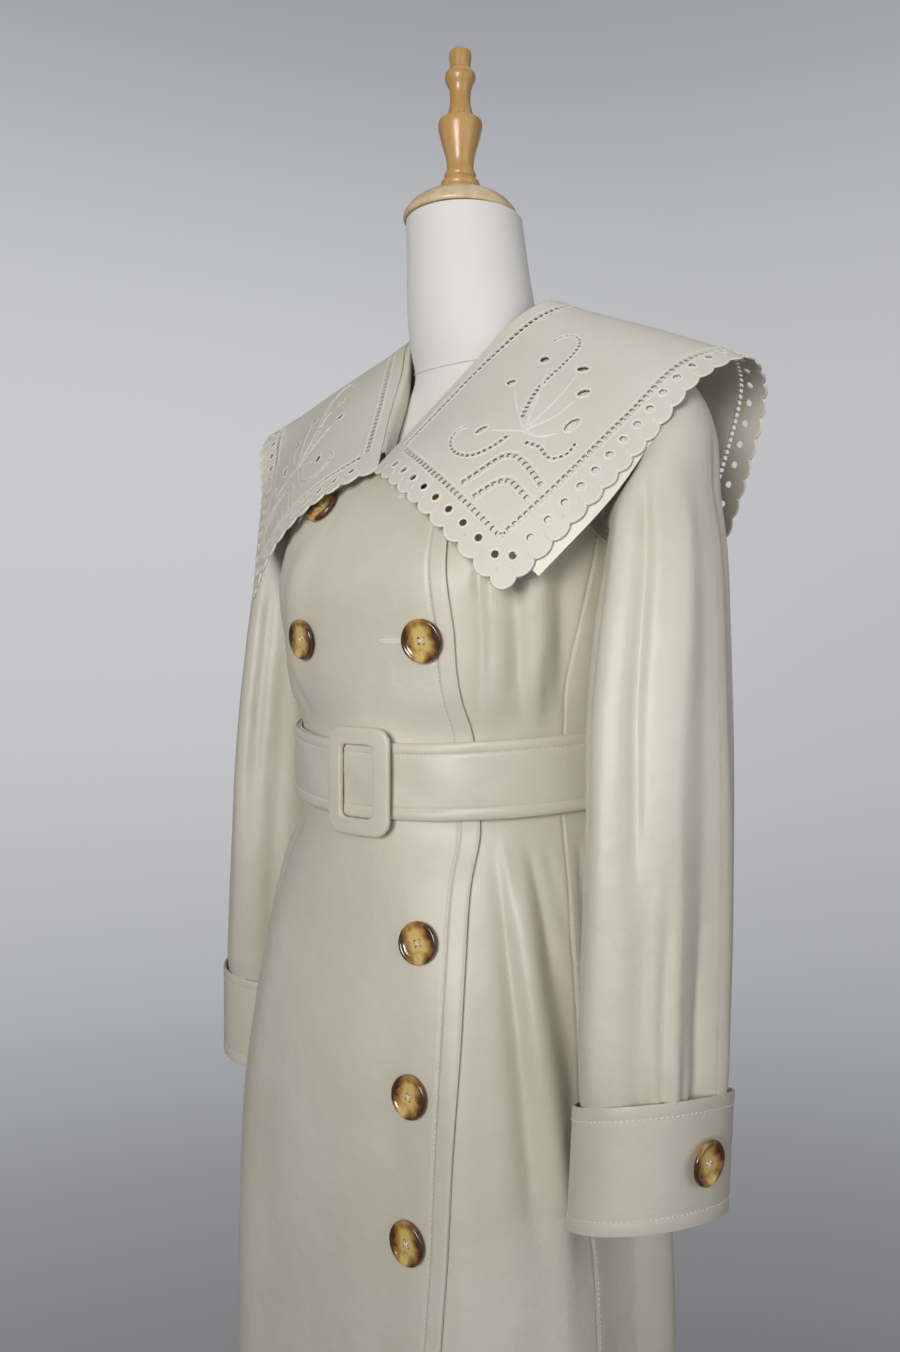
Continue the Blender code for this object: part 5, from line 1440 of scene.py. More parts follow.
    def oval(self, row: Row, sides: int, grow: float = 0.0) -> np.ndarray:
        """Return the corners of an oval on the cloth, in counts and shares."""
        count, share, half_long, half_wide, turn = row
        angle = 2.0 * math.pi * np.arange(sides) / sides
        long_way = (half_long + grow) * np.cos(angle)
        wide_way = (half_wide + grow) * np.sin(angle)
        turn = math.radians(turn)
        along = long_way * math.cos(turn) - wide_way * math.sin(turn)
        across = long_way * math.sin(turn) + wide_way * math.cos(turn)
        counts, shares = self.surface.step(np.full(sides, count), np.full(sides, share), along,
                                           across)
        return np.stack([counts, shares], axis=-1)

    def eyelets(self) -> List[Row]:
        """Return every eyelet of the near half: both edges and the spray."""
        rows: List[Row] = []
        for i in range(1, int(self.surface.centre_back)):
            count, share = self.surface.step(self.at_edge(i + 0.5), 1.0, 0.0,
                                             -self.eyelet_inset)
            rows.append((float(count), float(share), self.eyelet_radius, self.eyelet_radius, 0.0))
        start = 1.0 - self.tip_notch / self.front_length()
        for i in range(self.front_scallops - 1):
            share = start * (1.0 - (i + 0.5) / self.front_scallops)
            rows.append((self.eyelet_inset / self.surface.pitch, share, self.eyelet_radius,
                         self.eyelet_radius, 0.0))
        return rows + list(self.spray)

    def trace(self, path: Rows, step: float) -> Tuple[np.ndarray, np.ndarray, np.ndarray]:
        """Follow a path on the cloth at even steps.

        Args:
            path: the path's own points, in counts and shares.
            step: the distance between the points that are returned, in metres.

        Returns:
            Counts, shares, and the path's direction along and across the cloth.
        """
        knots = np.arange(len(path), dtype=float)
        fine = smooth_curve(knots, np.array(path, dtype=float),
                            np.linspace(0.0, len(path) - 1.0, 60 * (len(path) - 1) + 1))
        points = self.surface.base(fine[:, 0], fine[:, 1])
        run = np.concatenate([[0.0], np.cumsum(np.linalg.norm(np.diff(points, axis=0),
                                                              axis=-1))])
        total = max(int(round(run[-1] / step)), 2)
        at = np.linspace(0.0, run[-1], total + 1)
        count = np.interp(at, run, fine[:, 0])
        share = np.interp(at, run, fine[:, 1])
        place = self.surface.base(count, share)
        ahead = unit(np.gradient(place, axis=0))
        _, _, first, second = self.surface.local(count, share)
        direction = np.stack([np.sum(ahead * first, axis=-1), np.sum(ahead * second, axis=-1)],
                             axis=-1)
        return count, share, unit(direction)

    def ladder_gaps(self, ladder: Ladder) -> List[np.ndarray]:
        """Return the corners of each gap of a ladder, in counts and shares."""
        count, share, ahead = self.trace(ladder.path, ladder.pitch)
        gaps = []
        last = len(count) - 1
        for i in range(last):
            centre = 0.5 * (count[i] + count[i + 1]), 0.5 * (share[i] + share[i + 1])
            way = unit(ahead[i] + ahead[i + 1])
            narrow = 1.0 - ladder.tail * (i / max(last - 1, 1))
            half_a = ladder.gap_along / 2.0
            half_b = ladder.gap_across / 2.0 * narrow
            ring = []
            for a, b in ((1, -0.7), (1, 0.7), (0.6, 1), (-0.6, 1), (-1, 0.7), (-1, -0.7),
                         (-0.6, -1), (0.6, -1)):
                along = a * half_a * way[0] - b * half_b * way[1]
                across = a * half_a * way[1] + b * half_b * way[0]
                c, s = self.surface.step(centre[0], centre[1], along, across)
                ring.append((float(c), float(s)))
            gaps.append(np.array(ring))
        return gaps

    def ground(self) -> None:
        """Make the cloth with its outline and every gap cut through."""
        near = self.outline()
        back = self.surface.centre_back
        rings = [self.oval(row, 14) for row in self.eyelets()]
        for ladder in self.ladders():
            rings += self.ladder_gaps(ladder)
        rings = [ring for ring in rings if ring[:, 0].max() < back - 0.02]
        scale = np.array([self.surface.pitch, self.surface.width])
        centre_line = [(back, share) for share in np.linspace(0.0, 1.0, 34)[1:-1]]
        neck = [(float(c), 0.0) for c in np.linspace(0.0, back, 110)[1:]]
        outline = [(c, s) for c, s in near[1:]] + neck + centre_line + [near[0]]
        counts = np.arange(0.5, back - 0.1, self.grid_count)
        shares = np.arange(0.02, 0.985, self.grid_share)
        spread = np.stack(np.meshgrid(counts, shares), axis=-1).reshape(-1, 2)
        centres = np.array([ring.mean(axis=0) for ring in rings])
        sizes = np.array([np.abs(ring - ring.mean(axis=0)).max(axis=0) for ring in rings])
        keep = np.ones(len(spread), dtype=bool)
        for middle, size in zip(centres, sizes):
            away = (spread - middle) / (size + np.array([0.05, 0.006]))
            keep &= np.hypot(away[:, 0], away[:, 1]) > 1.0
        spread = spread[keep]
        plane = np.concatenate([np.array(outline), *rings, spread]) * scale
        loops = [list(range(len(outline)))]
        start = len(outline)
        for ring in rings:
            loops.append(list(range(start, start + len(ring))))
            start += len(ring)
        edges = [(loop[i], loop[(i + 1) % len(loop)]) for loop in loops
                 for i in range(len(loop))]
        verts, _, faces, _, _, origin = delaunay_2d_cdt(
            [Vector(p) for p in plane], edges, loops, 0, 1e-7)
        kept = [tuple(face) for face, source in zip(faces, origin) if list(source) == [0]]
        flat = np.array([tuple(v) for v in verts]) / scale
        self.solid(flat, kept)

    def solid(self, flat: np.ndarray, kept: Faces) -> None:
        """Turn the near half's flat triangles into the whole collar's closed cloth.

        Args:
            flat: counts and shares of the corners of the near half.
            kept: its triangles.
        """
        back = self.surface.centre_back
        used = sorted({i for face in kept for i in face})
        index = {old: new for new, old in enumerate(used)}
        half = flat[used]
        faces = [tuple(index[i] for i in face) for face in kept]
        on_line = np.abs(half[:, 0] - back) < 1e-5
        other = np.arange(len(half)) + len(half)
        other[on_line] = np.arange(len(half))[on_line]
        both = np.concatenate([half, np.stack([2.0 * back - half[:, 0], half[:, 1]], axis=-1)])
        faces += [tuple(int(other[i]) for i in reversed(face)) for face in faces]
        used = sorted({i for face in faces for i in face})
        index = {old: new for new, old in enumerate(used)}
        both = both[used]
        faces = [tuple(index[i] for i in face) for face in faces]
        total = len(both)
        directed = {(face[i], face[(i + 1) % 3]) for face in faces for i in range(3)}
        rims = [(a, b) for a, b in directed if (b, a) not in directed]
        shell = faces + [tuple(i + total for i in reversed(face)) for face in faces]
        shell += [(b, a, a + total, b + total) for a, b in sorted(rims)]
        outer = self.surface.point(both[:, 0], both[:, 1], COLLAR_CLOTH)
        inner = self.surface.point(both[:, 0], both[:, 1], 0.0)
        uvs = both * np.array([self.surface.pitch, self.surface.width])
        piece = add_piece("whitework_collar", np.concatenate([outer, inner]), shell,
                          COLLAR_CLOTH_FINISH, np.concatenate([uvs, uvs]), 40.0)
        dress_node(piece, "top_collar")

    def cord(self, bundle: Bundle, count: np.ndarray, share: np.ndarray, half_wide: np.ndarray,
             half_high: float, sink: float, closed: bool = False) -> None:
        """Lay a raised cord along counts and shares, on both wings."""
        wide = np.broadcast_to(half_wide, count.shape).astype(float)
        high = np.full(count.shape, half_high)
        back = self.surface.centre_back
        for c in (count, 2.0 * back - count):
            place = self.surface.point(c, share, COLLAR_CLOTH + sink)
            up = self.surface.outwards(c, share)
            if closed:
                ahead = np.roll(place, -1, axis=0) - np.roll(place, 1, axis=0)
            else:
                ahead = np.gradient(place, axis=0)
            across = unit(np.cross(up, unit(ahead)))
            points, faces = tube(place, across, up, wide, high, 6, closed)
            bundle.add(points, faces)

    def embroidery(self) -> None:
        """Lay the edge's buttonholed cord, the eyelets' rings, the ladders' cords and stems."""
        edge = Bundle()
        near = np.array(self.outline()[1:])
        inset, half_wide, half_high = self.edge_cord
        count, share = self.inset(near, inset)
        self.cord(edge, count, share, half_wide, half_high, -0.5 * COLLAR_CLOTH)
        start = 1.0 - self.tip_notch / self.front_length()
        run = np.linspace(0.0, 1.0, 5)
        near_in, far_in, first_half, last_half, half_high = self.bars
        inwards = np.linspace(near_in, far_in, 5)
        taper = np.linspace(first_half, last_half, 5)
        for i in range(2, int(self.surface.centre_back) + 1):
            count, share = self.surface.step(np.full(5, self.at_edge(float(i))), np.ones(5),
                                             0.0011 * run ** 2, -inwards)
            self.cord(edge, count, share, taper, half_high, self.sunk)
        for i in range(self.front_scallops):
            share = start * (1.0 - i / self.front_scallops) - 0.006 * run ** 2
            self.cord(edge, inwards / self.surface.pitch, share, taper, half_high, self.sunk)
        edge.piece("whitework_edge_cord", EMBROIDERY, "cutwork")
        rings = Bundle()
        for row in self.eyelets():
            if row[0] > self.surface.centre_back - 0.02:
                continue
            ring = self.oval(row, 16, 0.8 * self.ring_half_wide)
            self.cord(rings, ring[:, 0], ring[:, 1], self.ring_half_wide, self.ring_half_high,
                      self.sunk, True)
        rings.piece("whitework_eyelet_rings", EMBROIDERY, "cutwork")
        cords = Bundle()
        for ladder in self.ladders():
            self.ladder_cords(cords, ladder)
        for stem in self.stems:
            count, share, _ = self.trace(stem, 0.0016)
            taper = np.linspace(*self.stem_cord[:2], len(count))
            self.cord(cords, count, share, taper, self.stem_cord[2], self.sunk)
        cords.piece("whitework_cords", EMBROIDERY, "cutwork")

    def inset(self, outline: np.ndarray, inset: float) -> Tuple[np.ndarray, np.ndarray]:
        """Move an outline inwards across the cloth."""
        place = self.surface.base(outline[:, 0], outline[:, 1])
        ahead = unit(np.gradient(place, axis=0))
        _, _, first, second = self.surface.local(outline[:, 0], outline[:, 1])
        along = np.sum(ahead * first, axis=-1)
        across = np.sum(ahead * second, axis=-1)
        return self.surface.step(outline[:, 0], outline[:, 1], inset * across, inset * along)

    def ladder_cords(self, bundle: Bundle, ladder: Ladder) -> None:
        """Lay the two cords of a ladder."""
        count, share, ahead = self.trace(ladder.path, 0.0018)
        run = np.linspace(0.0, 1.0, len(count))
        apart = ladder.apart * (1.0 - ladder.tail * run)
        for side in (1.0, -1.0):
            c, s = self.surface.step(count, share, -side * apart * ahead[:, 1],
                                     side * apart * ahead[:, 0])
            self.cord(bundle, c, s, self.cord_half_wide, self.cord_half_high, self.sunk)

    def build(self) -> None:
        """Make the top collar and its embroidery."""
        self.ground()
        self.embroidery()


@dataclass
class UnderCollar:
    """The plain under-collar and the stand that turns down inside the neckline."""

    surface: CollarSurface
    edge: Rows = ((1.3, 1.060), (6.0, 1.055), (9.0, 1.025), (12.0, 0.975), (16.0, 0.900),
                  (20.0, 0.880), (28.0, 0.885), (32.0, 0.890), (40.0, 0.890))
    start: float = 1.3
    gap: float = 0.0017
    sag: float = 0.0028
    stand_start: float = 1.2
    drop: float = 0.0270
    roll_share: float = 0.25
    # The stand's roll: where it starts, how far in it goes, its rise and how low it lies.
    roll: Row = (0.0002, 0.0048, 0.0014, 0.0006)
    cut: Row = (0.60, 0.48)

    def counts(self, start: float, steps: int) -> np.ndarray:
        """Return counts from the near wing round to the far one."""
        half = np.linspace(start, self.surface.centre_back, steps)
        return np.concatenate([half, 2.0 * self.surface.centre_back - half[-2::-1]])

    def under(self) -> None:
        """Make the under-collar."""
        counts = self.counts(self.start, 120)
        back = self.surface.centre_back
        along = np.where(counts > back, 2.0 * back - counts, counts)
        reach = smooth_curve(column(self.edge, 0), column(self.edge, 1), along)
        rows = np.linspace(0.0, 1.0, 34)[:, None]
        share = 0.03 + rows * (reach[None] - 0.03)
        count = np.broadcast_to(counts, share.shape)
        inwards = smooth_step((0.90 - rows) / 0.28)
        backwards = smooth_step((along - 7.0) / 4.0)
        depth = self.gap + self.sag * inwards * backwards[None]
        outer = self.surface.point(count, share, -depth)
        inner = self.surface.point(count, share, -depth - COLLAR_CLOTH)
        # Its paler finish is painted light: a glow through the thin cloth that lifts the shade
        # under the top collar.
        piece = wall("plain_under_collar", outer, inner, UNDER_COLLAR_PAINTED_GLOW)
        dress_node(piece, "under_collar")

    def stand(self) -> None:
        """Make the stand, rolled over at its crest."""
        counts = self.counts(self.stand_start, 100)
        crest = self.surface.base(counts, np.zeros(counts.shape))
        inward = level_ways(np.array([0.0, 0.020, 0.0]) - crest)
        rows = np.linspace(0.0, 1.0, 30)[:, None, None]
        down = np.array([0.0, 0.0, -1.0])
        roll = np.clip(rows / self.roll_share, 0.0, 1.0)
        fall = np.clip(rows - 0.6 * self.roll_share, 0.0, 1.0)
        start, further, rise, low = self.roll
        outer = crest[None] + inward[None] * (start + further * smooth_step(roll)) + down * (
            self.drop * fall - rise * np.sin(math.pi * roll) - low)
        inner = outer + inward[None] * COLLAR_CLOTH
        cloth_wall("rolled_collar_stand", "collar_stand", outer, inner)

    def build(self) -> None:
        """Make both pieces."""
        self.under()
        self.stand()


# ------------------------------------------------------------------ belt
@dataclass
class Belt:
    """The wide belt with its tail through a covered buckle."""

    surface: BodySurface
    stitches: StitchRun
    z: float = 1.029
    width: float = 0.057
    side_rise: float = 0.009
    thick: float = 0.0030
    clear: float = 0.0010
    tail_thick: float = 0.0026
    under: float = CLOTH + 0.0017 + CLOTH + SEAM
    tail_from: float = -96.0
    tail_to: float = 13.0
    stitch_in: float = 0.0085
    # The buckle: its middle across and up, width, height, window's width, thickness.
    buckle: Row = (0.0140, 1.0285, 0.056, 0.081, 0.029, 0.0045)
    corner_radius: float = 0.0120
    rim_radius: float = 0.0019
    # Where the rows of half a face lie, in from its edge.
    rows: Row = (0.0, 0.0006, 0.0014, 0.0028, 0.0045, 0.0062, 0.0074, 0.0081, 0.0089, 0.0098,
                 0.0115, 0.0160, 0.0220, 0.0285)
    # The piped edges' width and depth, the swell inside them, the stitches' groove.
    piping: Row = (0.0022, 0.0011)
    swell: float = 0.0005
    groove: Row = (0.0005, 0.0010)
    # Drags: depth, turns round the waist, and how they slant and fade across the face.
    drag: Row = (0.0010, 13.0, 60.0, 70.0)

    def point(self, angle: np.ndarray, height: np.ndarray, lift: np.ndarray) -> np.ndarray:
        """Return points of the belt: angle round the waist, height from its middle."""
        angle, height = np.broadcast_arrays(np.asarray(angle, float),
                                            np.asarray(height, float))
        rise = self.side_rise * np.sin(np.radians(angle)) ** 2
        level = np.full(angle.shape, self.z)
        outwards = normals_of(self.surface.base, angle, level, 1.0, 0.001)
        outwards[..., 2] = 0.0
        lift = np.broadcast_to(lift, angle.shape)
        points = (self.surface.base(angle, level)
                  + unit(outwards) * (self.clear + lift)[..., None])
        points[..., 2] = self.z + rise + height
        return points

    def relief(self, height: np.ndarray) -> np.ndarray:
        """Return the belt's face: piped edges outside the topstitching."""
        near = self.width / 2.0 - np.abs(height)
        wide, deep = self.piping
        roll = np.sqrt(np.clip(near / wide, 0.0, 1.0)) * deep - deep
        swell = self.swell * np.sin(np.clip(near / self.stitch_in, 0.0, 1.0) * math.pi)
        return roll + swell - self.groove[0] * bell(near - self.stitch_in, self.groove[1])

    def band(self, name: str, node: str, angle: np.ndarray, lift: float, thick: float,
             wrap: bool) -> None:
        """Make one run of the belt and sew both its edges."""
        near = np.array(self.rows)
        half = self.width / 2.0
        heights = np.concatenate([near - half, (half - near)[::-1][1:]])[:, None]
        depth, turns, slant, fade = self.drag
        drag = depth * np.sin(np.radians(angle) * turns + heights * slant) * np.cos(heights * fade)
        relief = self.relief(heights)
        outer = self.point(angle[None], heights, lift + thick + (relief + drag))
        inner = self.point(angle[None], heights, lift - 0.4 * (relief < -0.0004) * relief)
        piece = wall(name, outer, inner, GABARDINE, wrap)
        dress_node(piece, node)
        middle = np.append(angle, 180.0) if wrap else angle
        cut = length_of(self.point(middle, np.zeros(len(middle)), lift))
        path = np.linspace(angle[0], angle[-1], 700)
        for side in (1.0, -1.0):
            height = np.full(path.shape, side * (half - self.stitch_in))
            place = self.point(path, height, lift + thick - 0.0003)
            self.stitches.sew(place, level_ways(place))

    def build(self) -> None:
        """Make the belt, its tail and the buckle."""
        around = np.linspace(-180.0, 180.0, 300, endpoint=False)
        self.band("cloth_belt", "belt", around, self.under, self.thick, True)
        tail = np.linspace(self.tail_from, self.tail_to, 130)
        lift = self.under + self.thick + SEAM
        self.band("cloth_belt_tail", "belt_tail", tail, lift, self.tail_thick, False)
        self.covered_buckle(lift + self.tail_thick + 3.0 * SEAM)

    def covered_buckle(self, lift: float) -> None:
        """Model the cloth-covered buckle as by hand, and bend it to the waist."""
        x, z, width, height, window, thick = self.buckle
        bpy.ops.object.select_all(action="DESELECT")
        bpy.ops.mesh.primitive_plane_add(size=1.0, location=(0.0, 0.0, 0.0))
        obj = bpy.context.object
        obj.name = "covered_buckle"
        bpy.ops.object.mode_set(mode="EDIT")
        bpy.ops.transform.resize(value=(width, height, 1.0))
        bpy.ops.mesh.inset(thickness=(width - window) / 2.0 - 0.0005)
        bpy.ops.mesh.delete(type="FACE")
        bpy.ops.mesh.select_all(action="SELECT")
        bpy.ops.mesh.extrude_region_move(TRANSFORM_OT_translate={"value": (0.0, 0.0, thick)})
        bpy.ops.mesh.select_all(action="SELECT")
        bpy.ops.mesh.normals_make_consistent(inside=False)
        bpy.ops.object.mode_set(mode="OBJECT")
        self.shape_buckle(obj, x, z, lift)

    def shape_buckle(self, obj: bpy.types.Object, x: float, z: float, lift: float) -> None:
        """Round the buckle's corners and faces, and lay it on the belt."""
        weights = obj.data.attributes.new("bevel_weight_edge", "FLOAT", "EDGE")
        for edge in obj.data.edges:
            first, second = (obj.data.vertices[i].co for i in edge.vertices)
            outside = abs(first.x) > self.buckle[4] / 2.0 + 0.003
            if abs(first.z - second.z) > 0.001:
                weights.data[edge.index].value = 1.0 if outside else 0.45
        upright = obj.modifiers.new("corners", "BEVEL")
        upright.limit_method = "WEIGHT"
        upright.width = self.corner_radius
        upright.segments = 7
        bpy.ops.object.modifier_apply(modifier=upright.name)
        rims = obj.modifiers.new("rims", "BEVEL")
        rims.limit_method = "ANGLE"
        rims.angle_limit = math.radians(50.0)
        rims.width = self.rim_radius
        rims.segments = 4
        bpy.ops.object.modifier_apply(modifier=rims.name)
        fine = obj.modifiers.new("cover", "SUBSURF")
        fine.subdivision_type = "SIMPLE"
        fine.levels = 2
        fine.render_levels = 2
        bpy.ops.object.modifier_apply(modifier=fine.name)
        mesh = obj.data
        flat = np.array([v.co[:] for v in mesh.vertices])
        angle = self.surface.angle_at_x(flat[:, 0] + x, np.full(len(flat), self.z))
        place = self.point(angle, flat[:, 1] + z - self.z, lift + flat[:, 2])
        mesh.vertices.foreach_set("co", place.astype(np.float32).ravel())
        if mesh.uv_layers.active:
            mesh.uv_layers.active.name = UV_NAME
        set_uvs(mesh, flat)
        mesh.materials.clear()
        mesh.materials.append(GABARDINE.material())
        mesh.shade_smooth()
        mesh.update()
        dress_node(obj, "buckle")


# ------------------------------------------------------------------ buttons
@dataclass
class Buttons:
    """Ten four-hole buttons, sewn on with crossed thread."""

    body: CoatBody
    cuffs: Cuffs
    radius: float = 0.0170
    # Radius and height of the turned face, from the middle of the front to the back.
    profile: Rows = (
        (0.00000, 0.00300), (0.00600, 0.00305), (0.01050, 0.00320), (0.01240, 0.00345),
        (0.01330, 0.00400), (0.01430, 0.00465), (0.01540, 0.00485), (0.01640, 0.00440),
        (0.01700, 0.00330), (0.01690, 0.00230), (0.01560, 0.00110), (0.01350, 0.00050),
        (0.00000, 0.00040),
    )
    cuff_size: float = 0.86
    cuff_turn: float = -12.0
    reach: float = 0.016
    # Thread: how far its two strands lie from the middle, and half its thickness.
    thread_off: float = 0.00035
    thread_half: float = 0.00034
    hole_away: float = 0.0029
    # Worked buttonholes: both ends and the height.
    buttonholes: Rows = ((0.0350, 0.0560, 1.1340), (0.0330, 0.0580, 1.2420))
    hole_radius: float = 0.0011
    # Name, place across and height, size against the master.
    rows: Tuple = (
        ("button_collar_right", -0.0520, 1.2400, 0.96),
        ("button_collar_left", 0.0700, 1.2420, 0.96),
        ("button_chest_right", -0.0516, 1.1360, 0.96),
        ("button_chest_left", 0.0715, 1.1350, 0.96),
        ("button_column_1", 0.0744, 0.9178, 0.90), ("button_column_2", 0.0794, 0.8140, 0.90),
        ("button_column_3", 0.0825, 0.7151, 0.90), ("button_column_4", 0.0825, 0.6135, 0.90),
    )

    def master(self) -> bpy.types.Object:
        """Model one button at the origin, with four holes bored through.

        Returns:
            The button that the others are copied from.
        """
        obj = spin_profile("button_master", self.profile, 0.0, 64)
        drills = []
        for sx, sy in ((1, 1), (-1, 1), (-1, -1), (1, -1)):
            bpy.ops.object.select_all(action="DESELECT")
            away = self.hole_away / math.sqrt(2.0)
            bpy.ops.mesh.primitive_cylinder_add(vertices=14, radius=self.hole_radius,
                                                depth=0.02, location=(sx * away, sy * away, 0))
            drills.append(bpy.context.object)
        for drill in drills:
            cut = obj.modifiers.new("hole", "BOOLEAN")
            cut.operation = "DIFFERENCE"
            cut.solver = "EXACT"
            cut.object = drill
            bpy.context.view_layer.objects.active = obj
            bpy.ops.object.modifier_apply(modifier=cut.name)
        for drill in drills:
            bpy.data.objects.remove(drill, do_unlink=True)
        return obj

    def thread(self) -> Tuple[np.ndarray, Faces]:
        """Return the crossed thread of one button at the origin."""
        bundle = Bundle()
        for k in range(2):
            turn = math.radians(45.0 + 90.0 * k)
            for off in (-self.thread_off, self.thread_off):
                s = np.linspace(-1.0, 1.0, 9)
                along = s * (self.hole_away + 0.0002)
                rise = 0.0030 + 0.0007 * (1.0 - s ** 4) + 0.0002 * k
                rise[[0, -1]] -= 0.0016
                path = np.stack([along * math.cos(turn) - off * math.sin(turn),
                                 along * math.sin(turn) + off * math.cos(turn), rise], axis=-1)
                across = np.broadcast_to([-math.sin(turn), math.cos(turn), 0.0], path.shape)
                up = np.broadcast_to([0.0, 0.0, 1.0], path.shape)
                size = np.full(9, self.thread_half)
                points, faces = tube(path, np.array(across), np.array(up), size, size, 6, False)
                bundle.add(points, faces)
        return np.concatenate(bundle.points), bundle.faces

    def place(self, master: bpy.types.Object, threads: Bundle, name: str, seat: np.ndarray,
              outwards: np.ndarray, turn: float, size: float = 1.0) -> None:
        """Copy the button onto its seat, facing outwards.

        Args:
            master: the modelled button.
            threads: the bundle that its thread joins.
            name: the node's name.
            seat: the middle of its back, on the cloth.
            outwards: the way it faces.
            turn: how far it is turned on its shank, in radians.
            size: its size against the coat's large buttons.
        """
        outwards = unit(outwards)
        first = unit(np.cross(np.array([0.0, 0.0, 1.0]), outwards))
        second = np.cross(outwards, first)
        axes = np.stack([first * math.cos(turn) + second * math.sin(turn),
                         second * math.cos(turn) - first * math.sin(turn), outwards], axis=1)
        mesh = master.data.copy()
        mesh.name = "resin_" + name
        flat = np.empty(len(mesh.vertices) * 3, dtype=np.float32)
        mesh.vertices.foreach_get("co", flat)
        flat = flat.reshape(-1, 3).astype(float)
        set_uvs(mesh, flat / (2.0 * self.radius) + 0.5)
        mesh.vertices.foreach_set(
            "co", (seat + size * flat @ axes.T).astype(np.float32).ravel())
        finish_mesh(mesh, HORN, 40.0)
        dress_node(link_object("resin_" + name, mesh), name)
        points, faces = self.thread()
        threads.add(seat + size * points @ axes.T, faces)

    def work_buttonholes(self) -> None:
        """Lay the stitched rims of the buttonholes that show beside their buttons."""
        rims = Bundle()
        turn = np.linspace(0.0, 2.0 * math.pi, 44, endpoint=False)
        for start, end, height in self.buttonholes:
            x = 0.5 * (start + end) + 0.5 * (end - start) * np.cos(turn)
            z = height + 0.0011 * np.sign(np.sin(turn)) * np.abs(np.sin(turn)) ** 0.5
            angle = self.body.surface.angle_at_x(x, z)
            lift = self.body.over_lift(angle, z) + CLOTH + 0.0001
            path = self.body.surface.point(angle, z, lift)
            up = self.body.surface.outwards(angle, z)
            ahead = unit(np.roll(path, -1, axis=0) - np.roll(path, 1, axis=0))
            across = unit(np.cross(up, ahead))
            rims.add(*tube(path, across, up, np.full(44, 0.0010), np.full(44, 0.00055), 6, True))
        rims.piece("worked_buttonholes", SEWING, "cloth")

    def build(self) -> None:
        """Make every button and its thread."""
        master = self.master()
        threads = Bundle()
        surface = self.body.surface
        seat_lift = self.body.lap_lift + CLOTH + SEAM + 0.0003
        reach = (-self.reach, 0.0, self.reach)
        for k, (name, x, z, size) in enumerate(self.rows):
            z = np.array(z)
            angle = surface.angle_at_x(np.array(x), z)
            outwards = normals_of(surface.folded, angle, z, 2.0, 0.010)
            clear = max(float(np.max((surface.point(
                surface.angle_at_x(np.array(x + dx), z + dz), z + dz, seat_lift)
                - surface.point(angle, z, seat_lift)) @ outwards))
                for dx in reach for dz in reach)
            seat = surface.point(angle, z, seat_lift) + outwards * max(clear, 0.0)
            self.place(master, threads, name, seat, outwards, 0.35 * math.sin(2.1 * k), size)
        for arm in Arm:
            turn = np.array(math.radians(self.cuff_turn))
            drop = np.array(0.5 * self.cuffs.height)
            lift = CLOTH + SEAM + SEAM + CLOTH
            outwards = self.cuffs.outwards(arm, turn, drop)
            seat = self.cuffs.point(arm, turn, drop, np.array(lift)) + outwards * 0.0004
            self.place(master, threads, f"button_cuff_{arm.word}", seat, outwards, 0.3,
                       self.cuff_size)
        threads.piece("button_threads", SEWING, "cloth")
        self.work_buttonholes()
        bpy.data.objects.remove(master, do_unlink=True)


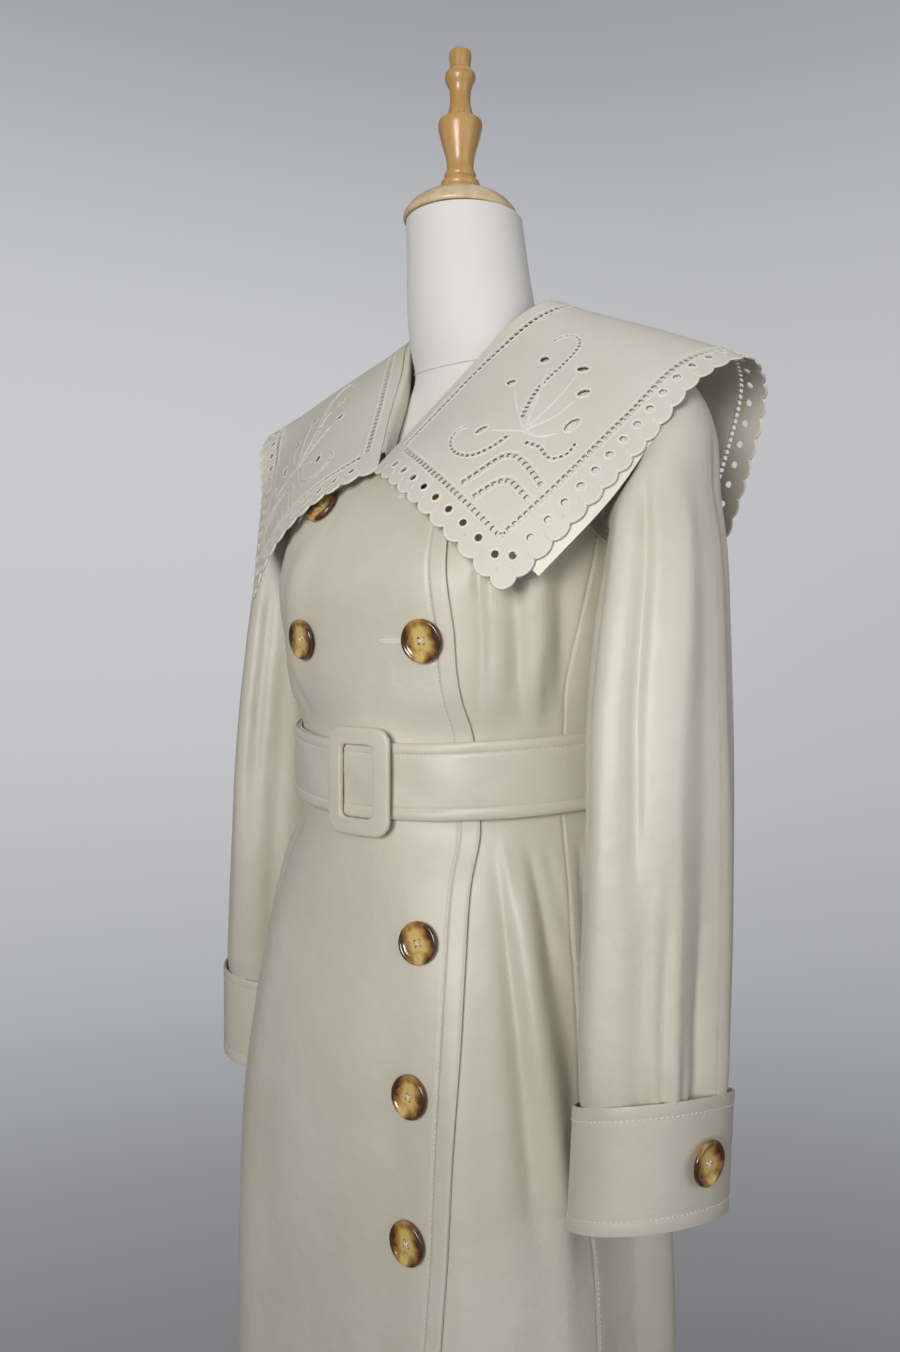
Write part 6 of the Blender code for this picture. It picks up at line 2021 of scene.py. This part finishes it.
# ------------------------------------------------------------------ dress form
@dataclass
class DressForm:
    """The jersey-covered torso, its turned cap and finial, and the steel stand."""

    torso: Rows = (
        (0.800, 0.142, 0.100, 0.106, 0.000), (0.860, 0.150, 0.108, 0.112, 0.000),
        (0.930, 0.142, 0.102, 0.106, 0.000), (1.020, 0.119, 0.091, 0.091, 0.000),
        (1.110, 0.128, 0.099, 0.096, 0.000), (1.186, 0.142, 0.111, 0.101, 0.000),
        (1.225, 0.144, 0.097, 0.101, 0.002), (1.262, 0.142, 0.078, 0.101, 0.004),
        (1.300, 0.130, 0.0595, 0.094, 0.008), (1.332, 0.078, 0.0470, 0.072, 0.013),
        (1.358, 0.0555, 0.0440, 0.060, 0.014), (1.385, 0.0555, 0.0510, 0.0560, 0.014),
        (1.410, 0.0560, 0.0550, 0.0555, 0.013), (1.450, 0.0530, 0.0525, 0.0525, 0.008),
        (1.492, 0.0500, 0.0500, 0.0500, 0.003),
    )
    around: int = 112
    rows: int = 140
    neck_welt: float = 1.372
    axis_y: float = -0.002
    cap: Rows = (
        (0.0000, 1.4925), (0.0480, 1.4925), (0.0487, 1.4935), (0.0488, 1.4955),
        (0.0482, 1.4975), (0.0470, 1.4990), (0.0430, 1.5040), (0.0380, 1.5080),
        (0.0320, 1.5115), (0.0260, 1.5140), (0.0200, 1.5163), (0.0140, 1.5178),
        (0.0000, 1.5185),
    )
    finial: Rows = (
        (0.0000, 1.5190), (0.0155, 1.5190), (0.0166, 1.5205), (0.0170, 1.5230),
        (0.0163, 1.5252), (0.0130, 1.5262), (0.0122, 1.5275), (0.0133, 1.5290),
        (0.0138, 1.5310), (0.0133, 1.5330), (0.0118, 1.5350), (0.0113, 1.5375),
        (0.0117, 1.5430), (0.0130, 1.5495), (0.0150, 1.5560), (0.0172, 1.5640),
        (0.0187, 1.5710), (0.0190, 1.5740), (0.0185, 1.5768), (0.0160, 1.5788),
        (0.0118, 1.5815), (0.0100, 1.5870), (0.0087, 1.5930), (0.0087, 1.6000),
        (0.0094, 1.6055), (0.0110, 1.6090), (0.0127, 1.6120), (0.0132, 1.6150),
        (0.0127, 1.6180), (0.0108, 1.6205), (0.0088, 1.6230), (0.0089, 1.6280),
        (0.0096, 1.6325), (0.0092, 1.6365), (0.0062, 1.6392), (0.0000, 1.6400),
    )
    stand: Rows = (
        (0.0000, 0.0000), (0.1762, 0.0000), (0.1770, 0.0008), (0.1770, 0.0070),
        (0.1755, 0.0083), (0.1500, 0.0120), (0.0300, 0.0158), (0.0262, 0.0166),
        (0.0250, 0.0230), (0.0235, 0.0243), (0.0135, 0.0256), (0.0125, 0.0280),
        (0.0125, 0.7985), (0.0000, 0.7985),
    )

    def spun(self, name: str, node: str, profile: Rows, axis_y: float, finish: Finish,
             steps: int = 72) -> None:
        """Make a turned piece for a node."""
        obj = spin_profile(name, profile, axis_y, steps)
        finish_mesh(obj.data, finish, 35.0)
        dress_node(obj, node)

    def torso_point(self, turn: np.ndarray, z: np.ndarray, lift: float) -> np.ndarray:
        """Return points of the torso at a turn in radians and a height."""
        turn, z = np.broadcast_arrays(turn, z)
        side, front, back, mid_y = (read_table(self.torso, k, z) for k in (1, 2, 3, 4))
        depth = np.where(np.sin(turn) < 0.0, front, back)
        return np.stack([(side + lift) * np.cos(turn),
                         mid_y + (depth + lift) * np.sin(turn), z], axis=-1)

    def covered_torso(self) -> None:
        """Make the torso and the welts of its cover."""
        around, rows = self.around, self.rows
        foot, crest = self.torso[0][0], self.torso[-1][0]
        turn = np.linspace(0.0, 2.0 * math.pi, around, endpoint=False)
        z = np.linspace(foot, crest, rows)
        rings = self.torso_point(turn[None], z[:, None], 0.0)
        points = np.concatenate([rings.reshape(-1, 3), [[0.0, 0.0, foot], [0.0, 0.003, crest]]])
        low, high = len(points) - 2, len(points) - 1
        step = [(j, (j + 1) % around) for j in range(around)]
        faces: Faces = [(i * around + j, i * around + k, (i + 1) * around + k,
                         (i + 1) * around + j) for i in range(rows - 1) for j, k in step]
        faces += [(low, k, j) for j, k in step]
        faces += [(high, (rows - 1) * around + j, (rows - 1) * around + k) for j, k in step]
        piece = add_piece("jersey_torso", points, faces, JERSEY)
        dress_node(piece, "form_torso")
        welts = Bundle()
        ring = self.torso_point(turn, np.full(around, self.neck_welt), 0.0001)
        ring[:, 2] += 0.010 * np.sin(turn)
        away = level_ways(ring - ring.mean(axis=0))
        size = np.full(around, 0.00025)
        rise = np.broadcast_to([0.0, 0.0, 1.0], ring.shape)
        welts.add(*tube(ring, np.array(rise), away, size, 0.5 * size, 6, True))
        for way in (-0.5, 0.5):
            z = np.linspace(1.00, 1.366, 120)
            path = self.torso_point(np.full(120, way * math.pi), z, 0.0001)
            away = np.broadcast_to([0.0, math.sin(way * math.pi), 0.0], path.shape)
            across = np.broadcast_to([1.0, 0.0, 0.0], path.shape)
            size = np.full(120, 0.0004)
            welts.add(*tube(path, np.array(across), np.array(away), size, 0.5 * size, 6, False))
        welts.piece("jersey_welts", JERSEY, "form")

    def build(self) -> None:
        """Make the form and its stand."""
        self.covered_torso()
        self.spun("beech_cap", "neck_cap", self.cap, self.axis_y, PALE_BEECH)
        self.spun("beech_finial", "neck_finial", self.finial, self.axis_y, BEECH)
        self.spun("steel_stand", "stand", self.stand, 0.0, STEEL, 96)


# ------------------------------------------------------------------ studio
@dataclass
class Studio:
    """The camera, the soft lights, the pale floor and the grey background with painted light on
    it.
    """

    place: Row = (0.584, -0.649, 1.139)
    heading: float = 42.0
    lens: float = 27.08
    shift: Row = (-0.0085, -0.031)
    floor_radius: float = 0.62
    # How strongly the background lights the room.
    ambient: float = 0.40
    # The background's colours by how steeply the view rises: painted shade towards the top and the
    # foot, painted light between them.
    painted_light_tones: Tuple = ((-0.60, "#767678"), (-0.54, "#7C7C7F"), (-0.45, "#8B8B8E"),
                    (-0.39, "#999A9D"), (-0.32, "#A6A7AA"), (-0.15, "#BABABD"),
                    (0.03, "#C0C0C4"), (0.21, "#C4C4C7"), (0.37, "#B9BABE"),
                    (0.50, "#A2A4AA"), (0.60, "#92949B"))

    def camera(self) -> None:
        """Make the camera."""
        data = bpy.data.cameras.new("studio_camera")
        data.lens = self.lens
        data.sensor_width = 36.0
        data.shift_x, data.shift_y = self.shift
        camera = link_object("studio_camera", data)
        camera.location = self.place
        camera.rotation_euler = (math.radians(90.0), 0.0, math.radians(self.heading))
        bpy.context.scene.camera = camera

    def light(self, name: str, place: Row, aim: Row, size: Row, power: float,
              colour: str, spread: float = 180.0) -> None:
        """Make one soft area light that points at aim."""
        data = bpy.data.lights.new(name, "AREA")
        data.shape = "RECTANGLE"
        data.size, data.size_y = size
        data.energy = power
        data.spread = math.radians(spread)
        data.color = linear(colour)[:3]
        lamp = link_object(name, data)
        lamp.location = place
        way = Vector(aim) - Vector(place)
        lamp.rotation_euler = way.to_track_quat("-Z", "Y").to_euler()

    def floor(self) -> None:
        """Make the round pale floor that the stand rests on."""
        bpy.ops.object.select_all(action="DESELECT")
        bpy.ops.mesh.primitive_circle_add(vertices=96, radius=self.floor_radius,
                                          fill_type="NGON", location=(0.0, 0.0, 0.0))
        floor = bpy.context.object
        floor.name = "pale_floor"
        floor.data.materials.append(
            PowderCoat("pale_floor_paint", "#D7D6D8", 0.60).material())

    def background(self) -> None:
        """Make the soft grey surroundings, with a painted pool of light low down on the left and
        painted shade towards the top and the foot.
        """
        world = bpy.data.worlds.new("studio_world")
        bpy.context.scene.world = world
        world.use_nodes = True
        tree = world.node_tree
        tree.nodes.clear()
        way = add_node(tree, "ShaderNodeTexCoord")
        # A painted pool of light on the backdrop, low down on the left of the view, seen by the
        # camera only.
        painted_light_spot = add_node(tree, "ShaderNodeVectorMath",
                        {0: way.outputs["Generated"], 1: (-0.905, 0.397, -0.15)},
                        operation="DOT_PRODUCT")
        level = add_node(tree, "ShaderNodeMapRange",
                         {"Value": painted_light_spot.outputs["Value"], "From Min": 0.66, "From Max": 1.0,
                          "To Min": 0.97, "To Max": 1.10}, interpolation_type="SMOOTHSTEP")
        axes = add_node(tree, "ShaderNodeSeparateXYZ", {"Vector": way.outputs["Generated"]})
        foot, top = self.painted_light_tones[0][0], self.painted_light_tones[-1][0]
        height = add_node(tree, "ShaderNodeMapRange",
                          {"Value": axes.outputs["Z"], "From Min": foot, "From Max": top})
        tone = colour_ramp(tree, height.outputs["Result"],
                           [((rise - foot) / (top - foot), colour) for rise, colour in self.painted_light_tones])
        tone.color_ramp.interpolation = "B_SPLINE"
        seen, lit = (add_node(tree, "ShaderNodeBackground",
                              {"Color": tone.outputs["Color"], "Strength": strength})
                     for strength in (level.outputs["Result"], self.ambient))
        path = add_node(tree, "ShaderNodeLightPath")
        mix = add_node(tree, "ShaderNodeMixShader",
                       {0: path.outputs["Is Camera Ray"], 1: lit.outputs[0],
                        2: seen.outputs[0]})
        add_node(tree, "ShaderNodeOutputWorld", {"Surface": mix.outputs[0]})

    def build(self) -> None:
        """Set up the studio."""
        self.camera()
        self.light("window_key", (0.78, -2.00, 1.52), (0.05, 0.0, 1.38), (0.8, 0.8), 8.6,
                   "#FFFDF8", 95.0)
        self.light("side_fill", (2.0, -0.2, 1.6), (0.1, 0.0, 1.2), (1.4, 1.4), 8.0, "#FAFAFF")
        self.light("top_soft", (0.0, 0.3, 2.9), (0.0, 0.0, 1.1), (1.6, 1.6), 4.0, "#FFFFFF")
        self.light("back_fill", (-0.9, 2.3, 1.6), (0.0, 0.0, 0.9), (1.6, 1.6), 7.0, "#FAFAFF")
        self.floor()
        self.background()
        bpy.context.scene.view_settings.view_transform = "Standard"


def main() -> None:
    """Build the whole scene in order."""
    logging.basicConfig(level=logging.INFO, format="%(message)s")
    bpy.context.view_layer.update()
    Studio().build()
    stitches = StitchRun()
    body = CoatBody(BODY, stitches)
    sleeves = Sleeves(BODY, stitches)
    cuffs = Cuffs(sleeves, stitches)
    surface = CollarSurface()
    body.build()
    sleeves.build()
    cuffs.build()
    UnderCollar(surface).build()
    TopCollar(surface).build()
    Belt(BODY, stitches).build()
    Buttons(body, cuffs).build()
    DressForm().build()
    stitches.bundle.piece("topstitching", SEWING, "cloth")


if __name__ == "__main__":
    main()
